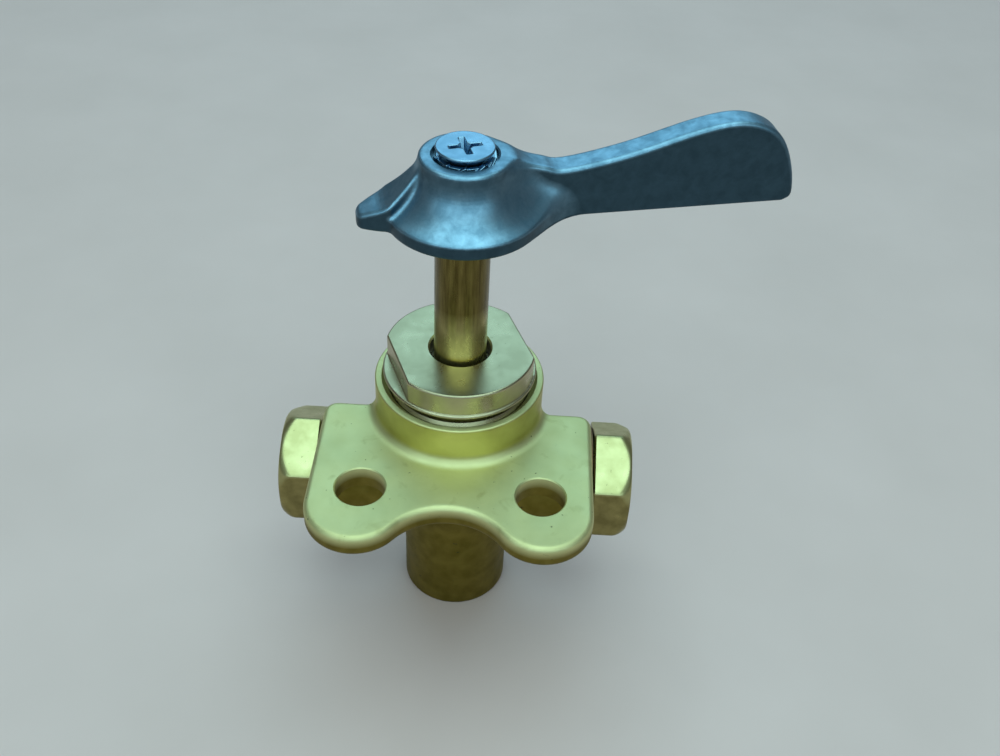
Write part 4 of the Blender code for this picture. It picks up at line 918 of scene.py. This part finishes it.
def cast_zinc():
    """Tumbled zinc: blue grey and mottled, with painted light: a bright tone on surfaces that face up, a dark
    painted shade on the sides.
    """
    shader = Shader("cast_zinc", 1.0)
    mottle = shader.ramp(shader.noise(2.2 * MM, 6, roughness=0.62, distortion=0.3), 0.35, 0.68)
    broad = shader.ramp(shader.noise(9 * MM, 3), 0.35, 0.65)
    # Painted light and shade: surfaces that face up take the bright lit tone, the sides the dark shaded tone.
    painted_shade_zinc = shader.mix(mottle, (0.034, 0.066, 0.090), (0.044, 0.084, 0.115))
    painted_light = shader.mix(mottle, (0.15, 0.28, 0.38), (0.26, 0.44, 0.57))
    wear_and_painted_light = shader.ramp(shader.upward(), 0.03, 0.42)
    wear_and_painted_light = shader.times(wear_and_painted_light, shader.ramp(broad, 0, 1, 0.8, 1.0))
    colour = shader.mix(wear_and_painted_light, painted_shade_zinc, painted_light)
    roughness = shader.ramp(mottle, 0, 1, 0.44, 0.34)
    grain = shader.noise(0.3 * MM, 3)
    return shader.finish(colour, roughness, (grain, 0.010 * MM), (mottle, 0.006 * MM))


def plated_steel():
    shader = Shader("plated_steel", 1.0)
    patches = shader.ramp(shader.noise(2 * MM, 4), 0.35, 0.7)
    colour = shader.mix(patches, (0.20, 0.36, 0.50), (0.26, 0.43, 0.58))
    specks = shader.ramp(shader.noise(0.35 * MM, 3), 0.66, 0.76, 0.0, 0.6)
    colour = shader.mix(specks, colour, (0.06, 0.08, 0.09))
    roughness = shader.ramp(patches, 0, 1, 0.34, 0.24)
    return shader.finish(colour, roughness, (shader.noise(0.3 * MM, 2), 0.004 * MM))


def inner_finish(name, dark, light, rough, metallic, grain_size, grain_depth, turned=False):
    """For the pieces inside: two tones in patches, a varied sheen, and a grain or turning marks."""
    shader = Shader(name, metallic)
    patches = shader.ramp(shader.noise(2.5 * MM, 4), 0.35, 0.68)
    roughness = shader.ramp(shader.noise(1.5 * MM, 3), 0.3, 0.7, rough - 0.06, rough + 0.06)
    heights = [(shader.noise(grain_size, 4), grain_depth)]
    if turned:
        heights.append((shader.rings(0.2 * MM), 0.0015 * MM))
    return shader.finish(shader.mix(patches, dark, light), roughness, *heights)


def dress_inner_pieces():
    """The CAD nodes that stay, and the finish given to the slots of each."""
    tones = (0.36, 0.37, 0.38), (0.52, 0.53, 0.54)
    steel = inner_finish("steel", *tones, 0.30, 1.0, 0.3 * MM, 0.003 * MM, turned=True)
    tones = (0.16, 0.09, 0.04), (0.26, 0.15, 0.08)
    copper = inner_finish("copper", *tones, 0.42, 1.0, 0.3 * MM, 0.004 * MM)
    tones = (0.48, 0.38, 0.14), (0.62, 0.52, 0.23)
    rotor = inner_finish("rotor_brass", *tones, 0.28, 1.0, 0.3 * MM, 0.003 * MM, turned=True)
    tones = (0.16, 0.05, 0.03), (0.28, 0.11, 0.06)
    fibre = inner_finish("fibre", *tones, 0.80, 0.0, 0.15 * MM, 0.02 * MM)
    tones = (0.03, 0.03, 0.03), (0.10, 0.10, 0.10)
    cord = inner_finish("packing", *tones, 0.85, 0.0, 0.25 * MM, 0.04 * MM)
    tones = (0.66, 0.66, 0.60), (0.80, 0.80, 0.76)
    polymer = inner_finish("seat_polymer", *tones, 0.45, 0.0, 0.4 * MM, 0.004 * MM)
    finishes = {
        "stop_pin": steel,
        "thrust_washer": steel,
        "gland_washer": steel,
        "spring_washer": steel,
        "rotor_spring": steel,
        "left_port_washer": copper,
        "right_port_washer": copper,
        "gate_rotor": rotor,
        "bonnet_gasket": fibre,
        "packing_ring_lower": cord,
        "packing_ring_middle": cord,
        "packing_ring_upper": cord,
        "left_seat_ring": polymer,
        "centre_seat_ring": polymer,
        "right_seat_ring": polymer,
    }
    for node, material in finishes.items():
        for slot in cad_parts[node].material_slots:
            slot.material = material


CAST = cast_brass()
TURNED = turned_brass()
DRAWN = drawn_brass()
BAR = stem_brass()
ZINC = cast_zinc()
PLATED = plated_steel()

valve_body()
bonnet_nut()
for label, side in (("left", -1), ("right", 1)):
    port_bushing(label, side)
stem()
handle()
small_fittings()
dress_inner_pieces()

# ---------------------------------------------------------------- stage, light and camera

CAMERA_PLACE = (7.5 * MM, AXIS_Y - 152.5 * MM, 140.3 * MM)
CAMERA_PITCH = math.radians(41.13)
CAMERA_ROLL = math.radians(3.285)
CAMERA_LENS = 39.34


def make_camera():
    camera = bpy.data.cameras.new("camera")
    camera.lens = CAMERA_LENS
    camera.clip_start = 0.01
    holder = bpy.data.objects.new("camera", camera)
    bpy.context.scene.collection.objects.link(holder)
    turn = Matrix.Rotation(math.pi / 2 - CAMERA_PITCH, 4, "X") @ Matrix.Rotation(CAMERA_ROLL, 4, "Z")
    holder.matrix_world = Matrix.Translation(CAMERA_PLACE) @ turn
    bpy.context.scene.camera = holder


def floor_finish():
    """Plain pale board with a faint tooth."""
    shader = Shader("floor", 0.0)
    tone = shader.mix(shader.ramp(shader.noise(40 * MM, 3), 0.3, 0.7), (0.68, 0.50, 0.46), (0.72, 0.53, 0.49))
    roughness = shader.ramp(shader.noise(6 * MM, 3), 0.3, 0.7, 0.55, 0.65)
    return shader.finish(tone, roughness, (shader.noise(0.8 * MM, 3), 0.01 * MM))


def make_floor():
    bpy.ops.mesh.primitive_plane_add(size=4, location=(0, 0, FLOOR_Z))
    floor = bpy.context.object
    floor.name = "floor"
    floor.data.materials.append(floor_finish())


def make_light(name, place, size, power, colour):
    lamp = bpy.data.lights.new(name, "AREA")
    lamp.shape = "RECTANGLE"
    lamp.size, lamp.size_y = size
    lamp.energy = power
    lamp.color = colour
    holder = bpy.data.objects.new(name, lamp)
    bpy.context.scene.collection.objects.link(holder)
    holder.location = place
    holder.rotation_euler = (Vector((0, AXIS_Y, 0)) - Vector(place)).to_track_quat("-Z", "Y").to_euler()


def make_world():
    world = bpy.data.worlds.new("studio")
    world.use_nodes = True
    background = world.node_tree.nodes["Background"]
    background.inputs["Color"].default_value = (0.5, 0.55, 0.58, 1)
    background.inputs["Strength"].default_value = 0.25
    bpy.context.scene.world = world


make_camera()
make_floor()
make_world()
make_light("overhead", (0.0, -0.10, 0.75), (0.9, 0.9), 5.2, (0.62, 0.97, 1.0))
make_light("front", (0.0, -0.85, 0.50), (2.4, 0.5), 6.0, (0.60, 0.92, 1.0))
make_light("rear", (0.0, 0.78, 0.62), (1.1, 0.55), 3.0, (0.42, 0.82, 1.0))
bpy.context.scene.view_settings.view_transform = "Standard"
